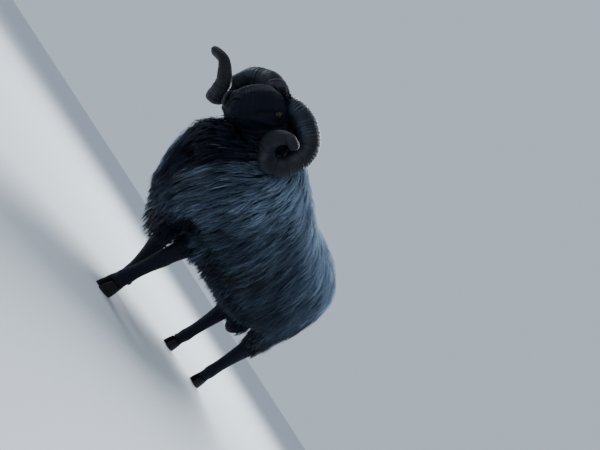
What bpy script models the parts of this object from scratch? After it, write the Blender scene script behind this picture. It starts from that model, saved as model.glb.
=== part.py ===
"""A life-size grey horned heath ram, standing and looking a little to its left.

Metres, +Z up. The ram faces -Y, so its own left side is +X. The solids give the outline out to the
tips of the fleece. Trunk, neck and head are lofts; legs, tail, scrotum, ears, horns and eyes run
into them, and what they run into is cut back to make room. The head is made in its own straight
frame and then turned on the neck.
"""

import math

import bmesh
import bpy
import numpy as np
from mathutils import Matrix, Vector

GAP = 0.0003  # left between solids that meet

# Fleece and body
BACK_HEIGHT = 0.716
BELLY_HEIGHT = 0.250
BODY_HALF_WIDTH = 0.215
CHEST_FRONT = -0.597
RUMP_END = 0.425
NECK_VOXEL = 0.0095
NECK_TRIANGLES_KEPT = 0.064

# Head, in its own straight frame: its turn on the neck, the upright axis it turns about, and where
# that axis stands; the horns are set a little further round than the face
FACE_TURN = math.radians(10)
FACE_AXIS = Vector((0.0, -0.600, 0.0))
FACE_STAND = Vector((0.0130, -0.592, 0.0))
HORN_TURN = math.radians(21)
HORN_STAND = Vector((0.0, -0.57, 0.0))
EYE_RADIUS = 0.0142
EYE_PLACE = Vector((0.0525, -0.6130, 0.6710))
EAR_ROOT = Vector((0.0620, -0.5640, 0.6860))
POLL_PLACE = Vector((-0.007, -0.586, 0.715))
HORN_DRAWN_IN = {"left": 0.003, "right": 0.015}
EAR_LENGTH = 0.092
HORN_AXIS = (-0.605, 0.655)  # y and z of the cross axis that the horns coil about
HEAD_VOXEL = 0.0045
HEAD_TRIANGLES_KEPT = 0.0442

# Feet: where each one stands (x, y)
FEET = {
    "fore_left": (0.064, -0.360),
    "fore_right": (-0.065, -0.233),
    "hind_left": (0.060, 0.373),
    "hind_right": (-0.060, 0.221),
}
ELBOW_PLACE = {"left": -0.330, "right": -0.312}
ELBOW_SPREAD = {"left": 0.014, "right": 0.026}
FORELEG_BOW = {"left": 0.001, "right": 0.012}
FORELEG_STOUT = {"left": 1.0, "right": 1.12}
HOCK_BACK = {"left": -0.006, "right": 0.030}
CORONET_HEIGHT = 0.040
CLAW_LENGTH = 0.056
CLAW_WIDTH = 0.0225
CLAW_SPREAD = 0.0124  # from the foot's middle line to each claw's
CLAW_LEAD = 0.004  # how far the claws' middle stands ahead of the leg's
CLAW_SIDES = 12
CLAW_HEEL_FULLNESS = 0.75  # below 1 the heel is squarer
CLAW_TOE_TAPER = 0.42  # share of the width lost at the toe

WOOL_GREY = (0.42, 0.43, 0.44)
FACE_BLACK = (0.020, 0.019, 0.020)
HORN_GREY = (0.19, 0.165, 0.14)
CLAW_BLACK = (0.045, 0.040, 0.036)
EYE_AMBER = (0.23, 0.13, 0.035)


# ---------------------------------------------------------------- tools

def clear_scene():
    for obj in list(bpy.data.objects):
        bpy.data.objects.remove(obj, do_unlink=True)


def collection(name, shown=True):
    found = bpy.data.collections.new(name)
    bpy.context.scene.collection.children.link(found)
    found.hide_render = not shown
    return found


def material(name, colour, roughness):
    made = bpy.data.materials.new(name)
    made.use_nodes = True
    shader = made.node_tree.nodes["Principled BSDF"]
    shader.inputs["Base Color"].default_value = (*colour, 1.0)
    shader.inputs["Roughness"].default_value = roughness
    return made


def eased(rows, steps):
    """Rows of numbers joined by a Catmull-Rom curve, with `steps` new rows for each old one."""
    rows = np.asarray(rows, float)
    before = np.vstack([2 * rows[0] - rows[1], rows[:-1]])
    after = np.vstack([rows[1:], 2 * rows[-1] - rows[-2]])
    slope = (after - before) / 2
    made = []
    for low in range(len(rows) - 1):
        for t in np.arange(steps) / steps:
            a, b = rows[low], rows[low + 1]
            made.append((2 * t**3 - 3 * t**2 + 1) * a + (t**3 - 2 * t**2 + t) * slope[low]
                        + (3 * t**2 - 2 * t**3) * b + (t**3 - t**2) * slope[low + 1])
    made.append(rows[-1])
    return np.array(made)


def frames(path, across):
    """Unit tangent, side and up along a path; the side keeps as near to `across` as it can."""
    tangent = np.gradient(path, axis=0)
    tangent /= np.linalg.norm(tangent, axis=1, keepdims=True)
    side = np.asarray(across, float) - tangent * (tangent @ np.asarray(across, float))[:, None]
    side /= np.linalg.norm(side, axis=1, keepdims=True)
    return tangent, side, np.cross(tangent, side)


def loft(name, stations, across=(1, 0, 0), sides=24, steps=4, roundness=2.0, level=False):
    """A closed tube through stations (x, y, z, half side, half up), each a superellipse.

    Its sections stand square to the path, or all upright and facing Y where `level` is set.
    """
    rows = eased(stations, steps)
    path, half = rows[:, :3], rows[:, 3:5]
    _, side, up = frames(path * (0, 1, 0) if level else path, across)
    turn = np.arange(sides) * math.tau / sides
    c = np.sign(np.cos(turn)) * np.abs(np.cos(turn)) ** (2 / roundness)
    s = np.sign(np.sin(turn)) * np.abs(np.sin(turn)) ** (2 / roundness)
    rings = (path[:, None] + half[:, 0, None, None] * c[None, :, None] * side[:, None]
             + half[:, 1, None, None] * s[None, :, None] * up[:, None])
    return rings_to_object(name, rings)


def rings_to_object(name, rings):
    """Skins equal closed rings, one after the other, and caps both ends."""
    count, sides = rings.shape[:2]
    body = bmesh.new()
    verts = [body.verts.new(point) for point in rings.reshape(-1, 3)]
    for ring in range(count - 1):
        for k in range(sides):
            a, b = ring * sides + k, ring * sides + (k + 1) % sides
            body.faces.new([verts[a], verts[b], verts[b + sides], verts[a + sides]])
    body.faces.new(verts[:sides][::-1])
    body.faces.new(verts[-sides:])
    bmesh.ops.triangulate(body, faces=body.faces[:])
    bmesh.ops.recalc_face_normals(body, faces=body.faces[:])
    if body.calc_volume(signed=True) < 0:
        bmesh.ops.reverse_faces(body, faces=body.faces[:])
    mesh = bpy.data.meshes.new(name)
    body.to_mesh(mesh)
    body.free()
    made = bpy.data.objects.new(name, mesh)
    bpy.context.scene.collection.objects.link(made)
    return made


def ball(name, centre, half_sizes, segments=24):
    """An ellipsoid with its half sizes built into the mesh."""
    bpy.ops.mesh.primitive_uv_sphere_add(segments=segments, ring_count=segments // 2, radius=1.0)
    made = bpy.context.object
    made.name = name
    made.data.transform(Matrix.Translation(centre) @ Matrix.Diagonal((*half_sizes, 1.0)))
    return made


def applied(obj):
    """Swaps an object's mesh for the one its modifiers give."""
    graph = bpy.context.evaluated_depsgraph_get()
    mesh = bpy.data.meshes.new_from_object(obj.evaluated_get(graph))
    obj.modifiers.clear()
    old, obj.data = obj.data, mesh
    bpy.data.meshes.remove(old)
    return obj


def fused(name, pieces, voxel, kept, rounds=6):
    """Overlapping solids made one skin, evened out, with only `kept` of the triangles."""
    joined = bmesh.new()
    for piece in pieces:
        joined.from_mesh(piece.data)
        bpy.data.objects.remove(piece, do_unlink=True)
    mesh = bpy.data.meshes.new(name)
    joined.to_mesh(mesh)
    joined.free()
    made = bpy.data.objects.new(name, mesh)
    bpy.context.scene.collection.objects.link(made)
    remesh = made.modifiers.new("one skin", "REMESH")
    remesh.mode = "VOXEL"
    remesh.voxel_size = voxel
    even = made.modifiers.new("even", "SMOOTH")
    even.iterations = rounds
    even.factor = 0.5
    fewer = made.modifiers.new("fewer", "DECIMATE")
    fewer.ratio = kept
    fewer.use_collapse_triangulate = True
    return applied(made)


def cut(obj, cutters):
    """Takes each cutter out of the solid."""
    for cutter in cutters:
        boolean = obj.modifiers.new("cut", "BOOLEAN")
        boolean.operation = "DIFFERENCE"
        boolean.object = cutter
        applied(obj)
    return obj


def keep_as_cutters(objects):
    for obj in objects:
        for owner in list(obj.users_collection):
            owner.objects.unlink(obj)
        CUTTERS.objects.link(obj)
        obj.hide_render = True
        obj.display_type = "WIRE"


def word(side):
    return "left" if side > 0 else "right"


def sided(side, point):
    """A point of the ram's left half, or its mirror image on the right."""
    return Vector((point[0] * side, point[1], point[2]))


def face_turned():
    """The turn of the head on the neck."""
    return (Matrix.Translation(FACE_STAND) @ Matrix.Rotation(FACE_TURN, 4, "Z")
            @ Matrix.Translation(-FACE_AXIS))


def horns_turned():
    """The turn of the two horns."""
    return (Matrix.Translation(HORN_STAND) @ Matrix.Rotation(HORN_TURN, 4, "Z")
            @ Matrix.Translation(-HORN_STAND))


# ---------------------------------------------------------------- body

def trunk_rows():
    """Upright sections (y, top, bottom, half width), from the chest's apron to the rump."""
    return [
        (CHEST_FRONT, 0.520, 0.412, 0.056),
        (CHEST_FRONT + 0.030, 0.590, 0.330, 0.110),
        (-0.515, 0.650, 0.262, 0.133),
        (-0.475, 0.686, 0.222, 0.148),
        (-0.440, 0.712, 0.214, 0.160),
        (-0.410, BACK_HEIGHT + 0.011, 0.240, 0.174),
        (-0.385, BACK_HEIGHT + 0.014, BELLY_HEIGHT + 0.008, 0.184),
        (-0.345, BACK_HEIGHT + 0.014, BELLY_HEIGHT + 0.014, 0.193),
        (-0.250, BACK_HEIGHT + 0.004, BELLY_HEIGHT + 0.008, 0.206),
        (-0.120, BACK_HEIGHT - 0.002, BELLY_HEIGHT, BODY_HALF_WIDTH),
        (0.000, BACK_HEIGHT + 0.012, BELLY_HEIGHT, BODY_HALF_WIDTH + 0.005),
        (0.120, BACK_HEIGHT + 0.031, BELLY_HEIGHT + 0.004, BODY_HALF_WIDTH),
        (0.240, BACK_HEIGHT + 0.028, 0.275, 0.202),
        (0.340, 0.708, 0.322, 0.168),
        (0.400, 0.640, 0.395, 0.120),
        (RUMP_END, 0.570, 0.460, 0.060),
    ]


def foreleg(side, foot):
    """Upper arm to coronet; the elbows stand wider apart than the feet."""
    x, y = foot
    elbow, spread = ELBOW_PLACE[word(side)], ELBOW_SPREAD[word(side)]
    rows = []
    for share, splay, z, wide, long in (
        (0.00, 1.00, 0.420, 0.050, 0.070),
        (0.15, 0.80, 0.330, 0.043, 0.052),
        (0.30, 0.55, 0.265, 0.034, 0.036),
        (0.46, 0.35, 0.215, 0.028, 0.028),
        (0.56, 0.26, 0.185, 0.027, 0.028),
        (0.70, 0.13, 0.145, 0.023, 0.024),
        (0.84, 0.05, 0.105, 0.0215, 0.023),
        (0.94, 0.00, 0.078, 0.0245, 0.026),
        (0.98, 0.00, 0.058, 0.0235, 0.026),
        (1.00, 0.00, CORONET_HEIGHT, 0.0245, 0.029),
    ):
        bow = FORELEG_BOW[word(side)] * math.sin(math.pi * share) ** 1.5
        rows.append((x + side * (splay * spread + bow), elbow + share * (y - elbow), z,
                     wide * FORELEG_STOUT[word(side)], long))
    return upright_feet(loft(f"leg_fore_{word(side)}", rows, sides=12, steps=1))


def hind_leg(side, foot):
    """Thigh to coronet, with the hock set behind the foot."""
    x, y = foot
    hock = HOCK_BACK[word(side)]
    rows = []
    for share, ahead, out, z, wide, long in (
        (1.00, 0.110, 0.110, 0.500, 0.070, 0.110),
        (1.00, 0.084, 0.102, 0.420, 0.058, 0.085),
        (1.00, 0.042, 0.088, 0.340, 0.043, 0.056),
        (1.00, 0.008, 0.078, 0.285, 0.037, 0.044),
        (1.00, 0.000, 0.074, 0.250, 0.035, 0.040),
        (0.90, 0.000, 0.071, 0.210, 0.0305, 0.034),
        (0.68, 0.000, 0.067, 0.155, 0.0260, 0.028),
        (0.48, 0.000, 0.064, 0.110, 0.0245, 0.027),
        (0.30, 0.000, 0.062, 0.078, 0.0260, 0.029),
        (0.15, 0.000, 0.061, 0.058, 0.0230, 0.026),
        (0.00, 0.000, abs(x), CORONET_HEIGHT, 0.0240, 0.0285),
    ):
        rows.append((side * out, y + share * hock - ahead, z, wide, long))
    return upright_feet(loft(f"leg_hind_{word(side)}", rows, sides=12, steps=1))


def upright_feet(leg):
    """Presses the leg's lowest ring level, so that it meets the claws flat."""
    for vert in leg.data.vertices:
        if vert.co.z < CORONET_HEIGHT + 0.006:
            vert.co.z = CORONET_HEIGHT
    return leg


def trunk():
    """The barrel, with the breast's hanging end, a keel that is lowest just before the forelegs."""
    rows = [(0, y, (top + low) / 2, half, (top - low) / 2) for y, top, low, half in trunk_rows()]
    barrel = loft("trunk", rows, sides=24, steps=2, roundness=2.25, level=True)
    keel = loft("keel", [
        (0.000, -0.528, 0.352, 0.066, 0.070),
        (0.000, -0.470, 0.300, 0.074, 0.086),
        (0.000, -0.425, 0.270, 0.072, 0.084),
        (0.000, -0.390, 0.265, 0.058, 0.074),
        (0.000, -0.356, 0.300, 0.034, 0.050),
    ], sides=14, steps=1)
    joined = barrel.modifiers.new("join", "BOOLEAN")
    joined.operation = "UNION"
    joined.object = keel
    applied(barrel)
    bpy.data.objects.remove(keel, do_unlink=True)
    return barrel


def neck():
    """The fleeced neck, carried round to the turned head, with the apron that hangs from the throat."""
    nape = face_turned() @ Vector((0.0, -0.575, 0.640))
    column = loft("column", [
        (0.000, -0.310, 0.550, 0.110, 0.090),
        (0.000, -0.400, 0.596, 0.126, 0.112),
        (0.004, -0.490, 0.624, 0.125, 0.116),
        (nape.x * 0.6, -0.545, 0.634, 0.108, 0.108),
        (nape.x, nape.y, nape.z, 0.090, 0.098),
    ], sides=28, steps=3)
    throat = loft("throat", [
        (0.026, -0.640, 0.518, 0.030, 0.034),
        (0.022, -0.606, 0.500, 0.068, 0.070),
        (0.015, -0.560, 0.496, 0.106, 0.106),
        (0.004, -0.470, 0.500, 0.112, 0.122),
    ], sides=24, steps=3)
    return fused("neck", [column, throat], NECK_VOXEL, NECK_TRIANGLES_KEPT)


def tail():
    return loft("tail", [
        (0.0, 0.370, 0.655, 0.040, 0.024),
        (0.0, 0.418, 0.632, 0.042, 0.026),
        (0.0, 0.440, 0.570, 0.040, 0.026),
        (0.0, 0.444, 0.490, 0.032, 0.022),
        (0.0, 0.440, 0.425, 0.016, 0.012),
    ], sides=12, steps=1)


def scrotum():
    return ball("scrotum", (0.008, 0.262, 0.295), (0.042, 0.048, 0.074), segments=14)


# ---------------------------------------------------------------- head

FACE_TOP = Vector((0.0, -0.575, 0.752))
FACE_DOWN = Vector((0.0, -0.57, -0.82)).normalized()
FACE_OUT = Vector((0.0, -0.82, 0.57)).normalized()


def on_face(down, out, across=0.0):
    """A point `down` the face from the poll, `out` ahead of the straight face line."""
    return FACE_TOP + FACE_DOWN * down + FACE_OUT * out + Vector((across, 0, 0))


def head_pieces():
    """Skull and muzzle along the face line, with cheeks, brows, nostrils and chin."""
    rows = []
    for down, ahead, behind, half in (
        (-0.020, -0.012, 0.058, 0.032),
        (-0.010, 0.004, 0.082, 0.050),
        (0.025, 0.016, 0.103, 0.058),
        (0.065, 0.028, 0.115, 0.062),
        (0.092, 0.037, 0.118, 0.062),
        (0.120, 0.041, 0.106, 0.058),
        (0.150, 0.038, 0.090, 0.051),
        (0.180, 0.028, 0.077, 0.045),
        (0.202, 0.015, 0.068, 0.042),
        (0.219, 0.000, 0.060, 0.038),
        (0.230, -0.013, 0.046, 0.026),
    ):
        rows.append((*on_face(down, (ahead - behind) / 2), half, (ahead + behind) / 2))
    pieces = [loft("skull", rows, sides=28, steps=3, roundness=2.3)]
    for side in (1, -1):
        pieces += [
            ball("cheek", on_face(0.075, -0.075, side * 0.036), (0.030, 0.046, 0.046)),
            ball("brow", on_face(0.083, -0.008, side * 0.044), (0.022, 0.026, 0.024)),
            ball("nostril wing", on_face(0.212, -0.012, side * 0.020), (0.0165, 0.018, 0.020)),
        ]
    pieces.append(ball("chin", on_face(0.203, -0.056), (0.024, 0.024, 0.022)))
    pieces.append(ball("poll tuft", POLL_PLACE, (0.048, 0.041, 0.036)))
    return pieces


def swell(value, start, end):
    """A smooth step from 0 at start to 1 at end."""
    share = min(max((value - start) / (end - start), 0.0), 1.0)
    return share * share * (3 - 2 * share)


def horn(side):
    """One loose turn: out from the poll, back and down, forward under the ear, then out at the tip.

    Stations are (angle, reach) about a cross axis through HORN_AXIS, the distance out along that
    axis, and the horn's half thickness; 90 degrees is up and 0 is straight back. The right coil is
    drawn in a little nearer the head than the left.
    """
    rows, drawn_in = [], HORN_DRAWN_IN[word(side)]
    for k, (angle, reach, out, half) in enumerate((
        (72, 0.074, 0.026, 0.0350),
        (72, 0.083, 0.062, 0.0365),
        (68, 0.082, 0.110, 0.0360),
        (47, 0.070, 0.159, 0.0340),
        (-2, 0.060, 0.174, 0.0310),
        (-42, 0.077, 0.164, 0.0280),
        (-66, 0.088, 0.147, 0.0270),
        (-90, 0.078, 0.132, 0.0250),
        (-119, 0.064, 0.130, 0.0230),
        (-145, 0.066, 0.148, 0.0200),
        (-158, 0.072, 0.172, 0.0160),
        (-157, 0.078, 0.195, 0.0140),
        (-153, 0.081, 0.207, 0.0085),
    )):
        a = math.radians(angle)
        out = out - drawn_in * swell(k / 12, 0.04, 0.20) * swell(k / 12, 0.97, 0.80)
        rows.append((side * out, HORN_AXIS[0] + reach * math.cos(a),
                     HORN_AXIS[1] + reach * math.sin(a), half))
    return twisted_tube(f"horn_{word(side)}", eased(rows, 3), sides=9)


def twisted_tube(name, rows, sides):
    """A tube whose frame is carried along the path, so that it never flips on a coil."""
    path, half = rows[:, :3], rows[:, 3]
    tangent = np.gradient(path, axis=0)
    tangent /= np.linalg.norm(tangent, axis=1, keepdims=True)
    side = np.zeros_like(path)
    side[0] = np.cross(tangent[0], (0, 1, 0))
    for k in range(len(path)):
        carried = side[max(k - 1, 0)]
        carried = carried - tangent[k] * (carried @ tangent[k])
        side[k] = carried / np.linalg.norm(carried)
    up = np.cross(tangent, side)
    turn = np.arange(sides) * math.tau / sides
    rings = path[:, None] + half[:, None, None] * (
        np.cos(turn)[None, :, None] * side[:, None] + np.sin(turn)[None, :, None] * up[:, None])
    return rings_to_object(name, rings)


def ear(side):
    """A small leaf that points out, back and a little down from below the horn's root."""
    lean = Vector((0.62, 0.70, -0.34)).normalized()
    rows = []
    for share, wide, thick in ((-0.10, 0.011, 0.009), (0.08, 0.013, 0.008), (0.30, 0.021, 0.0055),
                               (0.55, 0.023, 0.0045), (0.80, 0.016, 0.0035), (1.00, 0.005, 0.0025)):
        point = sided(side, EAR_ROOT + lean * (share * EAR_LENGTH))
        rows.append((*point, wide, thick))
    return loft(f"ear_{word(side)}", rows, across=(0.0, 0.35, 1.0), sides=12, steps=1)


def eyeball(side):
    return ball(f"eye_{word(side)}", sided(side, EYE_PLACE), (EYE_RADIUS,) * 3, segments=12)


def room_for(obj):
    """A copy of a solid, a little larger all over, to cut its neighbours with."""
    name = f"{obj.name} room"
    copy = bpy.data.objects.new(name, obj.data.copy())
    bpy.context.scene.collection.objects.link(copy)
    swell = copy.modifiers.new("swell", "DISPLACE")
    swell.strength = 1.6 * GAP
    swell.mid_level = 0.0
    return applied(copy)


def largest_island(obj):
    """Drops the crumbs that a cut can leave."""
    mesh = bmesh.new()
    mesh.from_mesh(obj.data)
    left, islands = set(mesh.verts), []
    while left:
        seed = left.pop()
        island, edge = {seed}, [seed]
        while edge:
            for link in edge.pop().link_edges:
                for vert in link.verts:
                    if vert in left:
                        left.discard(vert)
                        island.add(vert)
                        edge.append(vert)
        islands.append(island)
    islands.sort(key=len)
    for island in islands[:-1]:
        bmesh.ops.delete(mesh, geom=list(island), context="VERTS")
    mesh.to_mesh(obj.data)
    mesh.free()
    return obj


# ---------------------------------------------------------------- feet

def claw(name, x, y):
    """One half of the cloven hoof: a flat sole on the ground and a toe that slopes up to the coronet.

    Each ring is a circle stretched to the claw's length and width, narrower towards the toe.
    """
    turn = np.arange(CLAW_SIDES) * math.tau / CLAW_SIDES
    forward = np.cos(turn)
    toe = np.where(forward > 0, forward, -np.abs(forward) ** CLAW_HEEL_FULLNESS)
    taper = 1 - CLAW_TOE_TAPER * np.clip(forward, 0, 1) ** 2
    rings = []
    for z, long, wide, back in ((0.0, 1.00, 0.94, 0.0), (0.004, 1.02, 1.00, 0.0),
                                (0.022, 0.90, 0.97, 0.004), (CORONET_HEIGHT - GAP, 0.76, 0.90, 0.009)):
        px = x + np.sin(turn) * wide * taper * CLAW_WIDTH / 2
        py = y + back - toe * long * CLAW_LENGTH / 2
        rings.append(np.stack([px, py, np.full(CLAW_SIDES, z)], axis=1))
    return rings_to_object(name, np.array(rings))


def hooves():
    made = []
    for foot, (x, y) in FEET.items():
        outward = 1 if x > 0 else -1
        for place, apart in (("outer", CLAW_SPREAD), ("inner", -CLAW_SPREAD)):
            made.append(claw(f"claw_{foot}_{place}", x + apart * outward, y - CLAW_LEAD))
    return made


# ---------------------------------------------------------------- the whole animal

def finish(obj, look):
    obj.data.materials.clear()
    obj.data.materials.append(look)
    for owner in list(obj.users_collection):
        owner.objects.unlink(obj)
    RAM.objects.link(obj)


def build():
    wool = material("fleece", WOOL_GREY, 0.95)
    black = material("black coat", FACE_BLACK, 0.85)
    keratin = material("horn", HORN_GREY, 0.6)
    amber = material("eye", EYE_AMBER, 0.08)
    hoof = material("hoof", CLAW_BLACK, 0.55)

    head = fused("head", head_pieces(), HEAD_VOXEL, HEAD_TRIANGLES_KEPT, rounds=5)
    horns, ears, eyes = [horn(1), horn(-1)], [ear(1), ear(-1)], [eyeball(1), eyeball(-1)]
    for obj in (head, *ears, *eyes):
        obj.data.transform(face_turned())
    for obj in horns:
        obj.data.transform(horns_turned())
    barrel, collar = trunk(), neck()
    limbs = [foreleg(1, FEET["fore_left"]), foreleg(-1, FEET["fore_right"]),
             hind_leg(1, FEET["hind_left"]), hind_leg(-1, FEET["hind_right"]), tail(), scrotum()]

    head_room, neck_room = room_for(head), room_for(collar)
    horn_rooms = [room_for(obj) for obj in horns]
    ear_rooms = [room_for(obj) for obj in ears]
    eye_rooms = [room_for(obj) for obj in eyes]
    limb_rooms = [room_for(obj) for obj in limbs]
    cut(head, [*horn_rooms, *ear_rooms, *eye_rooms])
    cut(collar, [head_room, *horn_rooms, *ear_rooms])
    cut(barrel, [neck_room, head_room, *horn_rooms, *ear_rooms, *limb_rooms])
    for obj in (head, collar, barrel):
        largest_island(obj)
    keep_as_cutters([head_room, neck_room, *horn_rooms, *ear_rooms, *eye_rooms, *limb_rooms])

    looks = [(wool, [barrel, collar, limbs[4]]), (black, [head, *ears, *limbs[:4], limbs[5]]),
             (keratin, horns), (amber, eyes), (hoof, hooves())]
    for look, objects in looks:
        for obj in objects:
            finish(obj, look)
    centre_on_origin()


def centre_on_origin():
    """Moves every solid so that the middle of the whole box's floor is at the origin."""
    points = np.vstack([[v.co[:] for v in obj.data.vertices] for obj in RAM.objects])
    middle = (points.min(axis=0) + points.max(axis=0)) / 2
    shift = Matrix.Translation((-middle[0], -middle[1], -points[:, 2].min()))
    for obj in (*RAM.objects, *CUTTERS.objects):
        obj.data.transform(shift)


clear_scene()
RAM = collection("heath ram")
CUTTERS = collection("cutters", shown=False)
build()
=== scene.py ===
"""The looks of a standing grey horned heath ram: skin, fleece, short coat, horns, eyes and hooves.

Shapes are worked out in the ram's own frame: metres, +Z up, nose towards -Y, its left side +X, with
the middle of the back over x = 0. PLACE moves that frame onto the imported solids. The head is made
looking straight ahead and then turned on the neck.
"""

import math

import bmesh
import bpy
import numpy as np
from mathutils import Matrix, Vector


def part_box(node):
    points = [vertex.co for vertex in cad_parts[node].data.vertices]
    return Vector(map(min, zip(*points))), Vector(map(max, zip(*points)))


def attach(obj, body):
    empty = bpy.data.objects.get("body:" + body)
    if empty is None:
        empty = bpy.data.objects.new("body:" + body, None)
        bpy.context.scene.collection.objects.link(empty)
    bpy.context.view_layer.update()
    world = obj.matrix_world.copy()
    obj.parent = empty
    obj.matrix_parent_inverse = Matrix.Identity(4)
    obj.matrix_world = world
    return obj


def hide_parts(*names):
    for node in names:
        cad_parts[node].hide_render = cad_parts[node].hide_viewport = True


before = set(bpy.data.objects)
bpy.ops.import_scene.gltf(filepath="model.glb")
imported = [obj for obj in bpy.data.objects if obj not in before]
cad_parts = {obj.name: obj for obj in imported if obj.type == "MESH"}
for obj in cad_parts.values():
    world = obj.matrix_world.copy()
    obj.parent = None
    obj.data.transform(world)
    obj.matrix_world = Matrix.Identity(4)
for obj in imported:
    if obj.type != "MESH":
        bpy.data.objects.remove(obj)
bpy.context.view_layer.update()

BODY = "root"
TURN = 2 * math.pi
RANDOM = np.random.default_rng(11)

# Where the ram's frame lies in the model's: the trunk is even about x = 0 and ends at RUMP_END
RUMP_END = 0.425
TRUNK_LOW, TRUNK_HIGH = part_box("trunk")
PLACE = np.array([(TRUNK_LOW.x + TRUNK_HIGH.x) / 2, TRUNK_HIGH.y - RUMP_END, 0.0])

# Depth of the coat over the skin
FLEECE_DEPTH = 0.024
SHORT_DEPTH = 0.0015
HANG_DEPTH = 0.034  # of the wool under chest and belly

# Head, in its own straight frame: its turn on the neck, the upright axis it turns about, and where
# that axis stands; the horns are set a little further round than the face
FACE_TURN = math.radians(10)
FACE_AXIS = np.array([0.0, -0.600, 0.0])
FACE_STAND = np.array([0.0130, -0.592, 0.0])
HORN_TURN = math.radians(21)
HORN_STAND = np.array([0.0, -0.57, 0.0])
FACE_TOP = np.array([0.0, -0.575, 0.752])
FACE_DOWN = np.array([0.0, -0.57, -0.82]) / math.hypot(0.57, 0.82)
FACE_OUT = np.array([0.0, -0.82, 0.57]) / math.hypot(0.57, 0.82)
EYE_RADIUS = 0.0142
EYE_PLACE = np.array([0.0525, -0.6130, 0.6710])
EYE_LOOK = np.array([0.80, -0.56, 0.20]) / math.sqrt(0.80**2 + 0.56**2 + 0.20**2)
EYE_OPENING = (math.radians(52), math.radians(34))  # half angles along and across the slit
LID_THICKNESS = 0.0024
EAR_ROOT = np.array([0.0620, -0.5640, 0.6860])
EAR_LENGTH = 0.092
POLL_PLACE = np.array([-0.007, -0.586, 0.715])
HORN_AXIS = np.array([-0.605, 0.655])  # y and z of the cross axis that the horns coil about

# Feet
FEET = {
    "fore_left": (0.064, -0.360),
    "fore_right": (-0.065, -0.233),
    "hind_left": (0.060, 0.373),
    "hind_right": (-0.060, 0.221),
}
ELBOW_PLACE = {1: -0.330, -1: -0.312}
ELBOW_SPREAD = {1: 0.014, -1: 0.026}
FORELEG_BOW = {1: 0.001, -1: 0.012}
FORELEG_STOUT = {1: 1.0, -1: 1.12}
HOCK_BACK = {1: -0.006, -1: 0.030}
CORONET_HEIGHT = 0.040

SKIN_VOXEL = 0.0037
SKIN_TRIANGLES_UNDER_WOOL = 0.07


# ---------------------------------------------------------------- numbers

def ramp(value, low, high):
    """0 at low, 1 at high, and smooth between them; low may be the larger one."""
    t = np.clip((value - low) / (high - low), 0, 1)
    return t * t * (3 - 2 * t)


def unit(vectors):
    return vectors / np.maximum(np.linalg.norm(vectors, axis=-1, keepdims=True), 1e-9)


def dots(a, b):
    return np.sum(a * b, axis=-1, keepdims=True)


def swung(points, angle, before, after):
    """Points turned about an upright axis that goes from `before` to `after`."""
    c, s = math.cos(angle), math.sin(angle)
    return (np.asarray(points) - before) @ np.array([[c, s, 0], [-s, c, 0], [0, 0, 1]]) + after


def turned(points):
    """Straight head points turned on the neck."""
    return swung(points, FACE_TURN, FACE_AXIS, FACE_STAND)


def straightened(points):
    """Points on the turned head, back in its straight frame."""
    return swung(points, -FACE_TURN, FACE_STAND, FACE_AXIS)


def face_place(points):
    """(down, out, across) of points on the turned head: down the face, ahead of it, and sideways."""
    offset = straightened(points) - FACE_TOP
    return offset @ FACE_DOWN, offset @ FACE_OUT, offset[..., 0]


def on_face(down, out, across=0.0):
    return FACE_TOP + FACE_DOWN * down + FACE_OUT * out + np.array([across, 0, 0])


def eased(rows, steps):
    """Rows joined by cubics, each with slopes of half the way between a row's neighbours."""
    rows = np.asarray(rows, float)
    ends = np.vstack([2 * rows[0] - rows[1], rows, 2 * rows[-1] - rows[-2]])
    slope = (ends[2:] - ends[:-2]) / 2
    t = (np.arange(steps) / steps)[None, :, None]
    spans = ((2 * t**3 - 3 * t**2 + 1) * rows[:-1, None] + (t**3 - 2 * t**2 + t) * slope[:-1, None]
             + (3 * t**2 - 2 * t**3) * rows[1:, None] + (t**3 - t**2) * slope[1:, None])
    return np.vstack([spans.reshape(-1, rows.shape[1]), rows[-1:]])


def swirl(points, scale):
    """A slow, even wandering of the three directions: sines of slanted sums of x, y and z."""
    x, y, z = np.moveaxis(points * scale, -1, 0)
    return np.stack([np.sin(1.3 * y + 2.1 * z + 0.4) + np.sin(2.7 * y - 1.1 * z + 0.9 * x),
                     np.sin(1.7 * z - 1.2 * x + 1.9) + np.sin(2.9 * z + 1.4 * y + 0.3),
                     np.sin(1.1 * x + 1.6 * y + 2.6) + np.sin(2.3 * x - 2.6 * y + 1.2)], axis=-1) / 2


# ---------------------------------------------------------------- meshes

def put_mesh(name, points, face_sets, finish=None):
    """A mesh object from points in the ram's frame and arrays of faces, one array for each size."""
    mesh = bpy.data.meshes.new(name)
    sizes = np.concatenate([np.full(len(faces), faces.shape[1]) for faces in face_sets])
    corners = np.concatenate([np.asarray(faces).ravel() for faces in face_sets])
    mesh.vertices.add(len(points))
    mesh.vertices.foreach_set("co", (points + PLACE).astype(np.float32).ravel())
    mesh.loops.add(len(corners))
    mesh.loops.foreach_set("vertex_index", corners.astype(np.int32))
    mesh.polygons.add(len(sizes))
    mesh.polygons.foreach_set("loop_start", (np.cumsum(sizes) - sizes).astype(np.int32))
    mesh.update(calc_edges=True)
    mesh.shade_smooth()
    made = bpy.data.objects.new(name, mesh)
    bpy.context.scene.collection.objects.link(made)
    if finish:
        mesh.materials.append(finish)
    return made


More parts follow.
